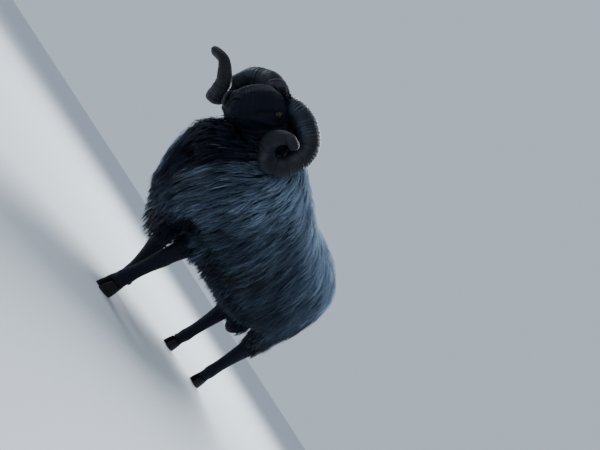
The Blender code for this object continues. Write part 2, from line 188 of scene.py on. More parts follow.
def tube(rings):
    """(points, quads, triangles) of closed rings skinned in order, each end closed by a fan."""
    count, sides = rings.shape[:2]
    ring, k = np.meshgrid(np.arange(count - 1), np.arange(sides), indexing="ij")
    a, b = ring * sides + k, ring * sides + (k + 1) % sides
    quads = np.stack([a, b, b + sides, a + sides], axis=-1).reshape(-1, 4)
    points = np.vstack([rings.reshape(-1, 3), rings[0].mean(0), rings[-1].mean(0)])
    k = np.arange(sides)
    first = np.stack([(k + 1) % sides, k, np.full(sides, count * sides)], axis=-1)
    last = np.stack([k, (k + 1) % sides, np.full(sides, sides)], axis=-1) + (count - 1) * sides
    last[:, 2] = count * sides + 1
    triangles = np.vstack([first, last])
    if signed_volume(points, quads, triangles) < 0:
        quads, triangles = quads[:, ::-1], triangles[:, ::-1]
    return points, quads, triangles


def signed_volume(points, quads, triangles):
    """Six times the volume: the sum over all triangles of the product of their corners."""
    every = np.vstack([quads[:, [0, 1, 2]], quads[:, [0, 2, 3]], triangles])
    a, b, c = points[every[:, 0]], points[every[:, 1]], points[every[:, 2]]
    return np.sum(a * np.cross(b, c))


def together(parts):
    """Several (points, quads, triangles) as one."""
    starts = np.cumsum([0] + [len(points) for points, _, _ in parts])
    return (np.vstack([points for points, _, _ in parts]),
            np.vstack([quads + start for (_, quads, _), start in zip(parts, starts)]),
            np.vstack([triangles + start for (_, _, triangles), start in zip(parts, starts)]))


def section_frames(path, across):
    """Tangent, side and up along a path; the side keeps as near to `across` as it can."""
    tangent = unit(np.gradient(path, axis=0))
    across = np.broadcast_to(np.asarray(across, float), path.shape)
    side = unit(across - tangent * dots(tangent, across))
    return tangent, side, np.cross(tangent, side)


def loft(stations, across=(1, 0, 0), sides=48, steps=8, roundness=2.0, level=False):
    """A closed tube through stations (x, y, z, half side, half up), each a superellipse:
    side * sgn(cos) |cos|^(2/roundness) + up * sgn(sin) |sin|^(2/roundness)."""
    rows = eased(stations, steps)
    path, half = rows[:, :3], rows[:, 3:5]
    _, side, up = section_frames(path * (0, 1, 0) if level else path, across)
    turn = np.arange(sides) * TURN / sides
    c = np.sign(np.cos(turn)) * np.abs(np.cos(turn)) ** (2 / roundness)
    s = np.sign(np.sin(turn)) * np.abs(np.sin(turn)) ** (2 / roundness)
    return tube(path[:, None] + half[:, 0, None, None] * c[None, :, None] * side[:, None]
                + half[:, 1, None, None] * s[None, :, None] * up[:, None])


def ellipsoid(centre, half, rings=20, sides=32):
    """centre + half * (sin a cos b, sin a sin b, cos a), for a from pole to pole."""
    a = np.linspace(0.02, math.pi - 0.02, rings)[:, None]
    b = np.arange(sides) * TURN / sides
    shape = np.stack([np.sin(a) * np.cos(b), np.sin(a) * np.sin(b), np.cos(a) + 0 * b], axis=-1)
    return tube(np.asarray(centre) + np.asarray(half) * shape)


def turned_part(part):
    return (turned(part[0]), *part[1:])


# ---------------------------------------------------------------- the skin's volumes

def trunk_volume():
    """The barrel under the fleece: upright sections (y, top, bottom, half width), each let in by the
    fleece's depth, and by more where the wool hangs."""
    rows = np.array([
        (-0.597, 0.520, 0.412, 0.056), (-0.567, 0.590, 0.330, 0.110), (-0.515, 0.650, 0.262, 0.133),
        (-0.475, 0.686, 0.222, 0.148), (-0.440, 0.712, 0.214, 0.160), (-0.410, 0.727, 0.240, 0.174),
        (-0.385, 0.730, 0.258, 0.184), (-0.345, 0.730, 0.264, 0.193), (-0.250, 0.724, 0.258, 0.206),
        (-0.120, 0.714, 0.250, 0.215), (0.000, 0.728, 0.250, 0.220), (0.120, 0.747, 0.254, 0.215),
        (0.240, 0.744, 0.275, 0.202), (0.340, 0.708, 0.322, 0.168), (0.400, 0.640, 0.395, 0.120),
        (RUMP_END, 0.570, 0.460, 0.060)])
    y, top, low, half = rows.T
    y = np.clip(y, -0.597 + FLEECE_DEPTH, RUMP_END - FLEECE_DEPTH)
    y[0] -= 0.004
    y[-1] += 0.004
    top = top - FLEECE_DEPTH
    low = low + HANG_DEPTH
    half = half - FLEECE_DEPTH
    stations = np.stack([0 * y, y, (top + low) / 2, half, (top - low) / 2], axis=1)
    return loft(stations, sides=64, steps=5, roundness=2.25, level=True)


def neck_volumes():
    """The column from the shoulders to the nape, and the throat that hangs under the jaw."""
    d = FLEECE_DEPTH
    nape = turned([0.0, -0.575, 0.640])
    column = loft([
        (0.000, -0.310, 0.550, 0.110 - d, 0.090 - d), (0.000, -0.400, 0.596, 0.126 - d, 0.112 - d),
        (0.004, -0.490, 0.624, 0.125 - d, 0.116 - d),
        (nape[0] * 0.6, -0.545, 0.634, 0.108 - 0.7 * d, 0.108 - 0.7 * d),
        (*nape, 0.090 - 0.5 * d, 0.098 - 0.5 * d)], sides=40, steps=6)
    throat = loft([
        (0.026, -0.626, 0.518, 0.024, 0.028), (0.022, -0.594, 0.500, 0.048, 0.052),
        (0.015, -0.552, 0.496, 0.085, 0.084), (0.004, -0.470, 0.500, 0.100, 0.108)], sides=40, steps=6)
    return [column, throat]


def keel_volume():
    """The breast's hanging end, a narrow keel that is lowest just in front of the forelegs."""
    return loft([
        (0.000, -0.520, 0.348, 0.052, 0.052), (0.000, -0.470, 0.308, 0.058, 0.058),
        (0.000, -0.425, 0.281, 0.053, 0.056), (0.000, -0.392, 0.270, 0.042, 0.050),
        (0.000, -0.362, 0.284, 0.026, 0.036)], sides=32, steps=5)


def head_volumes():
    """Skull and muzzle along the face line, with cheeks, brows, lids, nostril wings, chin and poll."""
    d = SHORT_DEPTH
    rows = []
    for down, ahead, behind, half in (
        (-0.020, -0.012, 0.058, 0.032), (-0.010, 0.004, 0.082, 0.050), (0.025, 0.016, 0.103, 0.058),
        (0.065, 0.028, 0.115, 0.062), (0.092, 0.037, 0.118, 0.062), (0.120, 0.041, 0.106, 0.058),
        (0.150, 0.038, 0.090, 0.051), (0.180, 0.028, 0.077, 0.045), (0.202, 0.015, 0.068, 0.042),
        (0.219, 0.000, 0.060, 0.038), (0.230, -0.013, 0.046, 0.026),
    ):
        rows.append((*on_face(down, (ahead - behind) / 2), half - d, (ahead + behind) / 2 - d))
    parts = [loft(rows, sides=56, steps=6, roundness=2.3),
             ellipsoid(on_face(0.203, -0.056), (0.023, 0.023, 0.021))]
    lid_ball = EYE_RADIUS + LID_THICKNESS
    for side in (1, -1):
        parts += [
            ellipsoid(on_face(0.075, -0.075, side * 0.036), (0.029, 0.045, 0.045)),
            ellipsoid(on_face(0.083, -0.008, side * 0.044), (0.021, 0.025, 0.023)),
            ellipsoid(on_face(0.212, -0.012, side * 0.020), (0.016, 0.0175, 0.0195)),
            ellipsoid(EYE_PLACE * (side, 1, 1), (lid_ball,) * 3),
        ]
    parts.append(ellipsoid(POLL_PLACE, (0.045, 0.038, 0.032)))
    return [turned_part(part) for part in parts]


def foreleg_volume(side, foot):
    x, y = foot
    elbow, spread = ELBOW_PLACE[side], ELBOW_SPREAD[side]
    rows = []
    for share, splay, z, wide, long in (
        (0.00, 1.00, 0.420, 0.050, 0.070), (0.15, 0.80, 0.330, 0.043, 0.052),
        (0.30, 0.55, 0.265, 0.034, 0.036), (0.46, 0.35, 0.215, 0.028, 0.028),
        (0.56, 0.26, 0.185, 0.027, 0.028), (0.70, 0.13, 0.145, 0.023, 0.024),
        (0.84, 0.05, 0.105, 0.0215, 0.023), (0.94, 0.00, 0.078, 0.0245, 0.026),
        (0.98, 0.00, 0.058, 0.0235, 0.026), (1.00, 0.00, CORONET_HEIGHT, 0.0245, 0.029),
    ):
        bow = FORELEG_BOW[side] * math.sin(math.pi * share) ** 1.5
        rows.append((x + side * (splay * spread + bow), elbow + share * (y - elbow), z,
                     wide * FORELEG_STOUT[side] - SHORT_DEPTH, long - SHORT_DEPTH))
    return loft(rows, sides=32, steps=5)


def hindleg_volume(side, foot):
    x, y = foot
    hock = HOCK_BACK[side]
    rows = []
    for share, ahead, out, z, wide, long in (
        (1.00, 0.110, 0.110, 0.500, 0.070, 0.110), (1.00, 0.084, 0.102, 0.420, 0.058, 0.085),
        (1.00, 0.042, 0.088, 0.340, 0.043, 0.056), (1.00, 0.008, 0.078, 0.285, 0.037, 0.044),
        (1.00, 0.000, 0.074, 0.250, 0.035, 0.040), (0.90, 0.000, 0.071, 0.210, 0.0305, 0.034),
        (0.68, 0.000, 0.067, 0.155, 0.0260, 0.028), (0.48, 0.000, 0.064, 0.110, 0.0245, 0.027),
        (0.30, 0.000, 0.062, 0.078, 0.0260, 0.029), (0.15, 0.000, 0.061, 0.058, 0.0230, 0.026),
        (0.00, 0.000, abs(x), CORONET_HEIGHT, 0.0240, 0.0285),
    ):
        inset = FLEECE_DEPTH * ramp(z, 0.30, 0.42) + SHORT_DEPTH
        rows.append((side * out, y + share * hock - ahead, z, wide - inset, long - inset))
    return loft(rows, sides=32, steps=5)


def tail_volume():
    d = 0.011
    return loft([(0.0, 0.370, 0.655, 0.040 - d, 0.024 - d), (0.0, 0.418, 0.632, 0.042 - d, 0.026 - d),
                 (0.0, 0.440, 0.570, 0.040 - d, 0.026 - d), (0.0, 0.444, 0.490, 0.032 - d, 0.022 - d),
                 (0.0, 0.440, 0.448, 0.016 - d / 2, 0.012 - d / 2)], sides=24, steps=6)


def scrotum_volume():
    return ellipsoid((0.008, 0.262, 0.295), (0.040, 0.046, 0.072))


def ear_part(side):
    """A cupped leaf: along the ear, rings of width w(s) cos a, thickness t(s) sin a, with the rims
    bent forward by the square of cos a."""
    lean = unit(np.array([0.62, 0.70, -0.34]))
    rows = eased([(-0.10, 0.010, 0.0060), (0.08, 0.012, 0.0048), (0.30, 0.020, 0.0030),
                  (0.55, 0.022, 0.0022), (0.80, 0.015, 0.0016), (0.96, 0.006, 0.0011),
                  (1.00, 0.002, 0.0006)], 8)
    path = EAR_ROOT + lean * rows[:, :1] * EAR_LENGTH
    _, wide, thick = section_frames(path, (0.0, 0.35, 1.0))
    turn = np.arange(28) * TURN / 28
    cup = 0.42 * ramp(rows[:, 0], 0.0, 0.35)
    bend = cup[:, None] * rows[:, 1:2] * (1 - np.cos(turn) ** 2)
    rings = (path[:, None] + (rows[:, 1:2] * np.cos(turn))[..., None] * wide[:, None]
             + (rows[:, 2:3] * np.sin(turn) + bend)[..., None] * thick[:, None])
    rings = turned(rings * (side, 1, 1))
    return tube(rings)


def fused_skin():
    """All the volumes made one closed surface, evened out, finer on head and legs than under wool."""
    volumes = [trunk_volume(), keel_volume(), *neck_volumes(), *head_volumes(),
               tail_volume(), scrotum_volume(),
               foreleg_volume(1, FEET["fore_left"]), foreleg_volume(-1, FEET["fore_right"]),
               hindleg_volume(1, FEET["hind_left"]), hindleg_volume(-1, FEET["hind_right"])]
    points, quads, triangles = together(volumes)
    rough = put_mesh("skin", points, [quads, triangles])
    remesh = rough.modifiers.new("one skin", "REMESH")
    remesh.mode = "VOXEL"
    remesh.voxel_size = SKIN_VOXEL
    even = rough.modifiers.new("even", "SMOOTH")
    even.factor = 0.5
    even.iterations = 5
    settle(rough)
    points = points_of(rough.data)
    hidden = under_wool(points)
    group = rough.vertex_groups.new(name="under wool")
    group.add(np.nonzero(hidden)[0].tolist(), 1.0, "REPLACE")
    kept = 1 - hidden.mean() * (1 - SKIN_TRIANGLES_UNDER_WOOL)
    fewer = rough.modifiers.new("fewer", "DECIMATE")
    fewer.ratio = kept
    fewer.vertex_group = group.name
    fewer.vertex_group_factor = 1.0
    settle(rough)
    rough.vertex_groups.clear()
    return rough


def settle(obj):
    """Swaps an object's mesh for the one its modifiers give."""
    graph = bpy.context.evaluated_depsgraph_get()
    mesh = bpy.data.meshes.new_from_object(obj.evaluated_get(graph))
    obj.modifiers.clear()
    old, obj.data = obj.data, mesh
    bpy.data.meshes.remove(old)


def points_of(mesh):
    """A mesh's points in the ram's frame."""
    points = np.empty(len(mesh.vertices) * 3, np.float32)
    mesh.vertices.foreach_get("co", points)
    return points.reshape(-1, 3).astype(float) - PLACE


def normals_of(mesh):
    normals = np.empty(len(mesh.vertices) * 3, np.float32)
    mesh.vertex_normals.foreach_get("vector", normals)
    return normals.reshape(-1, 3).astype(float)


def under_wool(points):
    """True where long wool hides the skin: behind the jaw and above the legs."""
    _, y, z = points.T
    straight = straightened(points)
    return (z > 0.315) & (straight[:, 1] > -0.545) & (y < 0.39)


def finer_face(obj):
    """Halves every edge of the face, then evens the new points out."""
    mesh = bmesh.new()
    mesh.from_mesh(obj.data)
    points = points_of(obj.data)
    down, out, _ = face_place(points)
    face = (down > 0.035) & (out > -0.095) & (points[:, 2] > 0.50) & (points[:, 1] < -0.57)
    edges = [edge for edge in mesh.edges if face[edge.verts[0].index] and face[edge.verts[1].index]]
    bmesh.ops.subdivide_edges(mesh, edges=edges, cuts=1, use_grid_fill=True)
    mesh.to_mesh(obj.data)
    mesh.free()
    points = points_of(obj.data)
    down, out, _ = face_place(points)
    weight = ramp(down, 0.02, 0.05) * ramp(out, -0.11, -0.09) * ramp(points[:, 1], -0.56, -0.58)
    write_points(obj.data, evened(points, edges_of(obj.data), weight, 4))


def edges_of(mesh):
    edges = np.empty(len(mesh.edges) * 2, np.int32)
    mesh.edges.foreach_get("vertices", edges)
    return edges.reshape(-1, 2)


def evened(points, edges, weight, rounds):
    """Moves each point half way to the mean of its neighbours, as far as its weight allows."""
    both = np.vstack([edges, edges[:, ::-1]])
    count = np.bincount(both[:, 0], minlength=len(points))
    for _ in range(rounds):
        mean = np.stack([np.bincount(both[:, 0], weights=points[both[:, 1], k], minlength=len(points))
                         for k in range(3)], axis=1) / np.maximum(count, 1)[:, None]
        points = points + 0.5 * weight[:, None] * (mean - points)
    return points


def write_points(mesh, points):
    mesh.vertices.foreach_set("co", (points + PLACE).astype(np.float32).ravel())
    mesh.update()


# ---------------------------------------------------------------- the face

def to_line(points, line):
    """Distance of 2-D points from an open line of 2-D points, and how far along it (0 to 1)"""
    line = np.asarray(line, float)
    start, span = line[:-1], line[1:] - line[:-1]
    offset = points[:, None] - start
    t = np.clip(np.sum(offset * span, axis=-1) / np.sum(span * span, axis=-1), 0, 1)
    gap = np.linalg.norm(offset - span * t[..., None], axis=-1)
    nearest = gap.argmin(axis=1)
    row = np.arange(len(points))
    return gap[row, nearest], (nearest + t[row, nearest]) / len(span)


def bell(distance, width):
    """1 at no distance, falling to 0 over about twice the width."""
    return np.exp(-(distance / width) ** 2)


# Lines on the face: in side view (down, out), or in front view (down, distance from the mid-line)
NOSTRIL = ((0.2300, 0.0075), (0.2235, 0.0110), (0.2170, 0.0165), (0.2120, 0.0215))
MOUTH = ((0.242, -0.029), (0.228, -0.040), (0.200, -0.051), (0.174, -0.056))
UPPER_LIP = ((0.236, -0.022), (0.214, -0.036), (0.190, -0.044))
TEAR_PIT = ((0.104, -0.010), (0.128, -0.014), (0.150, -0.016))
FACIAL_CREST = ((0.098, -0.046), (0.128, -0.040), (0.165, -0.036))
UNDER_CREST = ((0.100, -0.066), (0.135, -0.060), (0.168, -0.054))
NASAL_SIDE = ((0.108, 0.046), (0.140, 0.041), (0.172, 0.034), (0.196, 0.029))
NASAL_EDGE = ((0.060, 0.020), (0.120, 0.019), (0.190, 0.015))


def sculpt_face(obj):
    """Mouth, nostrils, tear pits, nose, crests and folds: each is a depth times a bell curve of the
    distance from a line, taken along the skin's normal."""
    points, normals = points_of(obj.data), normals_of(obj.data)
    down, out, across = face_place(points)
    wide = np.abs(across)
    head = ramp(down, 0.03, 0.05) * (points[:, 1] < -0.56) * (out > -0.12)
    side_view = np.stack([down, out], axis=1)
    front_view = np.stack([down, wide], axis=1)
    on_side = ramp(wide, 0.020, 0.034)
    on_front = ramp(out, -0.040, -0.015)
    move = np.zeros(len(points))

    move -= 0.0036 * bell(to_line(side_view, MOUTH)[0], 0.0021) * ramp(down, 0.162, 0.178)
    move += 0.0014 * bell(to_line(side_view, UPPER_LIP)[0], 0.0050)
    gap, along = to_line(front_view, NOSTRIL)
    slit = bell(gap, 0.0021 + 0.0012 * along) * ramp(out, -0.032, -0.022)
    move -= 0.0085 * slit
    move += 0.0019 * bell(gap - 0.0060, 0.0030) * ramp(out, -0.026, -0.016) * (1 - slit)
    move -= 0.0024 * bell(wide, 0.0016) * ramp(down, 0.219, 0.228) * ramp(out, -0.036, -0.028)

    move -= 0.0052 * bell(to_line(side_view, TEAR_PIT)[0], 0.0080) * on_side
    move += 0.0038 * bell(to_line(side_view, FACIAL_CREST)[0], 0.0075) * on_side
    move -= 0.0030 * bell(to_line(side_view, UNDER_CREST)[0], 0.0100) * on_side
    move -= 0.0052 * bell(to_line(front_view, NASAL_SIDE)[0], 0.0100) * on_front
    move += 0.0018 * bell(to_line(front_view, NASAL_EDGE)[0], 0.0090) * on_front
    move -= 0.0022 * bell(np.hypot(down - 0.070, wide), 0.020) * on_front
    for fold, deep in ((0.198, 0.0009), (0.189, 0.0010), (0.179, 0.0008), (0.168, 0.0006)):
        gap, _ = to_line(front_view, [(fold, 0.0), (fold + 0.006, 0.018), (fold + 0.014, 0.030)])
        move -= deep * bell(gap, 0.0019) * ramp(out, -0.020, -0.002)

    points = points + normals * (move * head)[:, None]
    for side in (1, -1):
        points = open_lids(points, side)
    write_points(obj.data, points)


def eye_axes(side):
    """The eye's centre and its axes on the turned head: along the slit, across it, and outward."""
    look = EYE_LOOK * (side, 1, 1)
    slit = unit(np.cross([0.0, 0.0, 1.0], look) * side)
    rise = unit(np.cross(look, slit) * side)
    angle = np.array([turned(FACE_AXIS + axis) - FACE_STAND for axis in (slit, rise, look)])
    return turned(EYE_PLACE * (side, 1, 1)), angle


def lid_angle(around):
    """Half angle of the open slit for the angle round the eye: an almond with drawn-out corners."""
    wide, high = EYE_OPENING
    power = 1.6
    return ((np.abs(np.cos(around)) / wide) ** power
            + (np.abs(np.sin(around)) / high) ** power) ** (-1 / power)


def open_lids(points, side):
    """Opens the slit in the lids by sinking the skin inside it below the eyeball; presses a fold into
    the upper lid, and a hollow round both."""
    centre, axes = eye_axes(side)
    offset = points - centre
    reach = np.linalg.norm(offset, axis=1)
    local = offset @ axes.T
    around = np.arctan2(local[:, 1], local[:, 0])
    angle = np.arctan2(np.hypot(local[:, 0], local[:, 1]), local[:, 2])
    past = angle - lid_angle(around)
    near = (reach < EYE_RADIUS + 0.010) & (local[:, 2] > -0.002)
    inside = ramp(past, 0.02, -0.10) * near
    fold = near * bell(past - 0.34, 0.075) * (0.0013 * ramp(np.sin(around), -0.2, 0.5) + 0.0004)
    hollow = 0.0016 * bell(past - 0.85, 0.22) * (reach < EYE_RADIUS + 0.016) * (local[:, 2] > -0.006)
    sunk = reach + inside * (EYE_RADIUS - 0.0042 - reach) - (fold + hollow) * (1 - inside)
    return centre + offset * (sunk / np.maximum(reach, 1e-6))[:, None]


LID_STEPS = 96
LID_SIDES = 10


def lid_rim(side):
    """The wet edge of both lids: a thin ring carried round the slit, on the eyeball."""
    centre, axes = eye_axes(side)
    around = np.arange(LID_STEPS) * TURN / LID_STEPS
    angle = lid_angle(around) + 0.02
    outward = (np.sin(angle) * np.cos(around))[:, None] * axes[0] \
        + (np.sin(angle) * np.sin(around))[:, None] * axes[1] + np.cos(angle)[:, None] * axes[2]
    path = centre + outward * (EYE_RADIUS + 0.0009)
    tangent = unit(np.roll(path, -1, axis=0) - np.roll(path, 1, axis=0))
    side_way = np.cross(tangent, outward)
    turn = np.arange(LID_SIDES) * TURN / LID_SIDES
    ring = (path[:, None] + 0.0013 * np.cos(turn)[None, :, None] * side_way[:, None]
            + 0.0012 * np.sin(turn)[None, :, None] * outward[:, None])
    a, k = np.meshgrid(np.arange(LID_STEPS), np.arange(LID_SIDES), indexing="ij")
    here, there, beside = a * LID_SIDES, (a + 1) % LID_STEPS * LID_SIDES, (k + 1) % LID_SIDES
    quads = np.stack([here + k, here + beside, there + beside, there + k], axis=-1).reshape(-1, 4)
    points = ring.reshape(-1, 3)
    empty = np.zeros((0, 3), int)
    if signed_volume(points - centre, quads, empty) < 0:
        quads = quads[:, ::-1]
    return points, quads, empty


# ---------------------------------------------------------------- markings

BIB_HEIGHTS = (0.325, 0.355, 0.390, 0.430, 0.480, 0.530, 0.600)
BIB_HALF_WIDTHS = (0.000, 0.022, 0.044, 0.062, 0.080, 0.094, 0.106)


def black_share(points):
    """0 where the coat is grey and 1 where it is black: head, bib, legs, scrotum."""
    x, y, z = points.T
    straight = straightened(points)
    head = ramp(straight[:, 1] - 0.15 * (z - 0.60), -0.520, -0.548) * ramp(z, 0.45, 0.52)
    half = np.interp(z, BIB_HEIGHTS, BIB_HALF_WIDTHS)
    bib = ramp(half - np.abs(x - 0.008), -0.016, 0.014) * ramp(y, -0.470, -0.525)
    behind_chest = y + 2.0 * np.maximum(0.10 - np.abs(x), 0)
    legs = ramp(z, 0.300, 0.276) * (y > -0.44) * ramp(behind_chest, -0.42, -0.38)
    elbow = ramp(arch_over_elbow(points) - z, -0.008, 0.008) * ramp(np.abs(x), 0.050, 0.075)
    from_sack = (points - (0.008, 0.262, 0.280)) / (0.055, 0.062, 0.085)
    sack = ramp(np.linalg.norm(from_sack, axis=1), 1.15, 0.95)
    return np.maximum.reduce([head, bib, legs, elbow, sack])


def arch_over_elbow(points):
    """Height of the wool's lower edge over each foreleg: an arch, a half ellipse 0.13 m wide."""
    x, y, _ = points.T
    middle = np.where(x > 0, -0.432, -0.315)
    return 0.250 + 0.082 * np.sqrt(np.clip(1 - ((y - middle) / 0.066) ** 2, 0, 1))


def fleece_tone_and_painted_light(points):
    """0 dark to 1 pale: the fleece is palest over the back and shoulder and darkest low on the flank.
    This is partly its own colour and partly painted light: lighter with height as if lit from above, a
    painted highlight along the top of the back, and painted shade on the upper neck under the horns.
    """
    _, y, z = points.T
    # painted light: the rise with height is partly the fleece's own colour and partly painted light from
    # above
    height = ramp(z, 0.27, 0.74)
    shoulder = ramp(y, -0.20, -0.42) * ramp(z, 0.20, 0.36) * ramp(z, 0.64, 0.52)
    # painted shade on the upper neck, where the horns shade it
    painted_horn_shade = ramp(y, -0.40, -0.50) * ramp(z, 0.50, 0.58)
    patches = swirl(points, 11.0)[:, 0] * 0.09 + swirl(points, 27.0)[:, 1] * 0.06
    # the last ramp, 0.32 * ramp(z, 0.55, 0.69), is a painted highlight along the top of the back
    return np.clip(0.18 + 0.47 * height + 0.18 * shoulder - 0.14 * painted_horn_shade + 0.32 * ramp(z, 0.55, 0.69)
                   + patches, 0, 1)


def brown_share(points):
    """Brown in the wool: rusty at the bib's hanging end and, in faint patches, low on the flank."""
    _, y, z = points.T
    bib_end = 0.8 * ramp(z, 0.29, 0.24) * ramp(y, -0.38, -0.43)
    flank = 0.40 * ramp(swirl(points, 8.0)[:, 2], 0.1, 0.9) * ramp(z, 0.60, 0.40)
    return np.clip(bib_end + flank, 0, 1)


# ---------------------------------------------------------------- the lie of the coat

def comb(points):
    """Which way the coat is combed: down, parted along the spine and swept back over it; forward at the
    side of the neck, then in towards the chest's mid-line, back round the elbows and on the flank."""
    x, y, z = points.T
    away = np.tanh(x / 0.03)
    crest = ramp(z, 0.585, 0.71)
    neck_side = ramp(z, 0.43, 0.53) * ramp(y, -0.44, -0.52)
    shoulder = ramp(y, -0.24, -0.44) * ramp(z, 0.66, 0.50)
    chest = ramp(y, -0.44, -0.53) * ramp(z, 0.50, 0.42)
    before_leg = ramp(y, -0.400, -0.470) * ramp(z, 0.44, 0.34)
    flank = ramp(y, -0.25, 0.05)
    breast = ramp(y, -0.370, -0.420) * ramp(z, 0.37, 0.29)
    forward = 0.75 * neck_side + 0.24 * shoulder - 0.20 * chest - 0.25 * before_leg - 0.55 * breast
    pull = np.stack([away * (0.10 + 1.0 * crest) - 5.0 * x * chest - 5.0 * x * before_leg,
                     0.42 * crest + 0.12 * flank - forward, -1.0 + 0.15 * crest], axis=1)
    return pull + 0.10 * swirl(points, 12.0) + 0.07 * swirl(points, 31.0)


class NearSkin:
    """Distance above the skin and its normal at any point near it.

    A grid holds in each cell the mean place and normal of the skin's points in it, spread outward
    cell by cell; the distance is that along the normal from the mean place, blended between cells.
    """

    def __init__(self, points, normals, cell=0.010, reach=0.11):
        self.cell = cell
        self.low = points.min(0) - reach - cell
        self.shape = np.ceil((points.max(0) + reach + cell - self.low) / cell).astype(int) + 1
        index = np.ravel_multi_index(tuple(((points - self.low) / cell).astype(int).T), self.shape)
        total = int(np.prod(self.shape))
        count = np.bincount(index, minlength=total)
        rows = np.hstack([points, normals])
        sums = np.stack([np.bincount(index, weights=rows[:, k], minlength=total)
                         for k in range(6)], axis=1)
        value = (sums / np.maximum(count, 1)[:, None]).astype(np.float32).reshape(*self.shape, 6)
        known = (count > 0).reshape(self.shape)
        for _ in range(int(reach / cell)):
            total_value, total_count = np.zeros_like(value), np.zeros(self.shape, np.float32)
            for axis in range(3):
                for step in (1, -1):
                    shifted = np.roll(known, step, axis)
                    total_count += shifted
                    total_value += np.roll(value, step, axis) * shifted[..., None]
            fresh = ~known & (total_count > 0)
            value[fresh] = total_value[fresh] / total_count[fresh][:, None]
            known |= fresh
        self.value, self.known = value, known

    def at(self, points):
        place = np.clip((points - self.low) / self.cell - 0.5, 0, self.shape - 1.001)
        base = place.astype(int)
        share = place - base
        distance, normal, total = 0.0, 0.0, 1e-9
        for corner in np.ndindex(2, 2, 2):
            cell = tuple(np.minimum(base + corner, self.shape - 1).T)
            weight = np.prod(np.where(corner, share, 1 - share), axis=1) * self.known[cell]
            value = self.value[cell].astype(float)
            distance = distance + weight * np.sum((points - value[:, :3]) * value[:, 3:], axis=1)
            normal = normal + weight[:, None] * value[:, 3:]
            total = total + weight
        return distance / total, unit(normal)


def scatter(skin, count, density):
    """Even random places on the skin: triangles weighted by area and density, taken in their order
    with equal steps of weight, and a random place within each. Returns places and normals."""
    mesh = skin.data
    mesh.calc_loop_triangles()
    corners = np.empty(len(mesh.loop_triangles) * 3, np.int32)
    mesh.loop_triangles.foreach_get("vertices", corners)
    corners = corners.reshape(-1, 3)
    points, normals = points_of(mesh), normals_of(mesh)
    a, b, c = (points[corners[:, k]] for k in range(3))
    weight = np.linalg.norm(np.cross(b - a, c - a), axis=1) * density((a + b + c) / 3)
    total = np.cumsum(weight)
    pick = np.searchsorted(total, (np.arange(count) + RANDOM.random(count)) / count * total[-1])
    pick = np.minimum(pick, len(corners) - 1)
    u, v = RANDOM.random((2, count, 1))
    u, v = np.where(u + v > 1, 1 - u, u), np.where(u + v > 1, 1 - v, v)
    mix = lambda field: (field[corners[pick, 0]] * (1 - u - v) + field[corners[pick, 1]] * u
                         + field[corners[pick, 2]] * v)
    return mix(points), unit(mix(normals))


# ---------------------------------------------------------------- locks and tufts

LOCK_STEPS = 4


def lock_lines(near, roots, length, rise, hang, own):
    """Middle lines of locks: each leaves the skin, bends into the combed direction and keeps to a
    height of rise * (1 - (1 - s)^2.5) * (1 - 0.2 s^3) above the skin; hang lets it fall clear."""
    point, step = roots.copy(), length / LOCK_STEPS
    line, ups, before = [point], [], None
    for k in range(LOCK_STEPS):
        height, normal = near.at(point)
        pull = unit(comb(point)) + own
        pull = unit(pull - normal * np.minimum(dots(pull, normal), 0))
        s = (k + 1) / LOCK_STEPS
        wish = rise * (1 - (1 - s) ** 2.5) * (1 - 0.2 * s**3)
        climb = np.clip((wish - height) / step, -0.8, 0.9)
        climb = np.where(climb < 0, climb * (1 - hang), climb)
        way = unit(pull + normal * climb[:, None])
        if before is not None:
            way = unit(0.35 * before + 0.65 * way)
        point = point + way * step[:, None]
        line.append(point)
        ups.append(normal)
        before = way
    ups.append(ups[-1])
    return np.stack(line, axis=1), np.stack(ups, axis=1)


def strands_of(line, ups, many, spread, clump, wave):
    """Each lock's strands: the lock's line moved sideways and up by an own amount that shrinks to
    (1 - clump) at the tip, plus a sideways wave."""
    line, ups = np.repeat(line, many, axis=0), np.repeat(ups, many, axis=0)
    count, steps = line.shape[0], line.shape[1] - 1
    s = np.linspace(0, 1, steps + 1)[None, :, None]
    way = unit(np.gradient(line, axis=1))
    side = unit(np.cross(way, ups))
    up = np.cross(side, way)
    apart = RANDOM.normal(0, 1, (count, 1, 2)) * spread
    lift = RANDOM.random((count, 1, 1)) * 0.4
    reach = RANDOM.uniform(0.70, 1.08, (count, 1, 1))
    phase, pace = RANDOM.random((count, 1, 1)) * TURN, RANDOM.uniform(0.9, 1.7, (count, 1, 1))
    waving = wave * np.sin(TURN * pace * s + phase) * s**0.7
    close = 1 - clump * s
    moved = line + side * (apart[..., :1] * close + waving) \
        + up * ((apart[..., 1:] * 0.25 * close) + lift * spread * (1 - s))
    root = moved[:, :1]
    return root + (moved - root) * reach, side, up


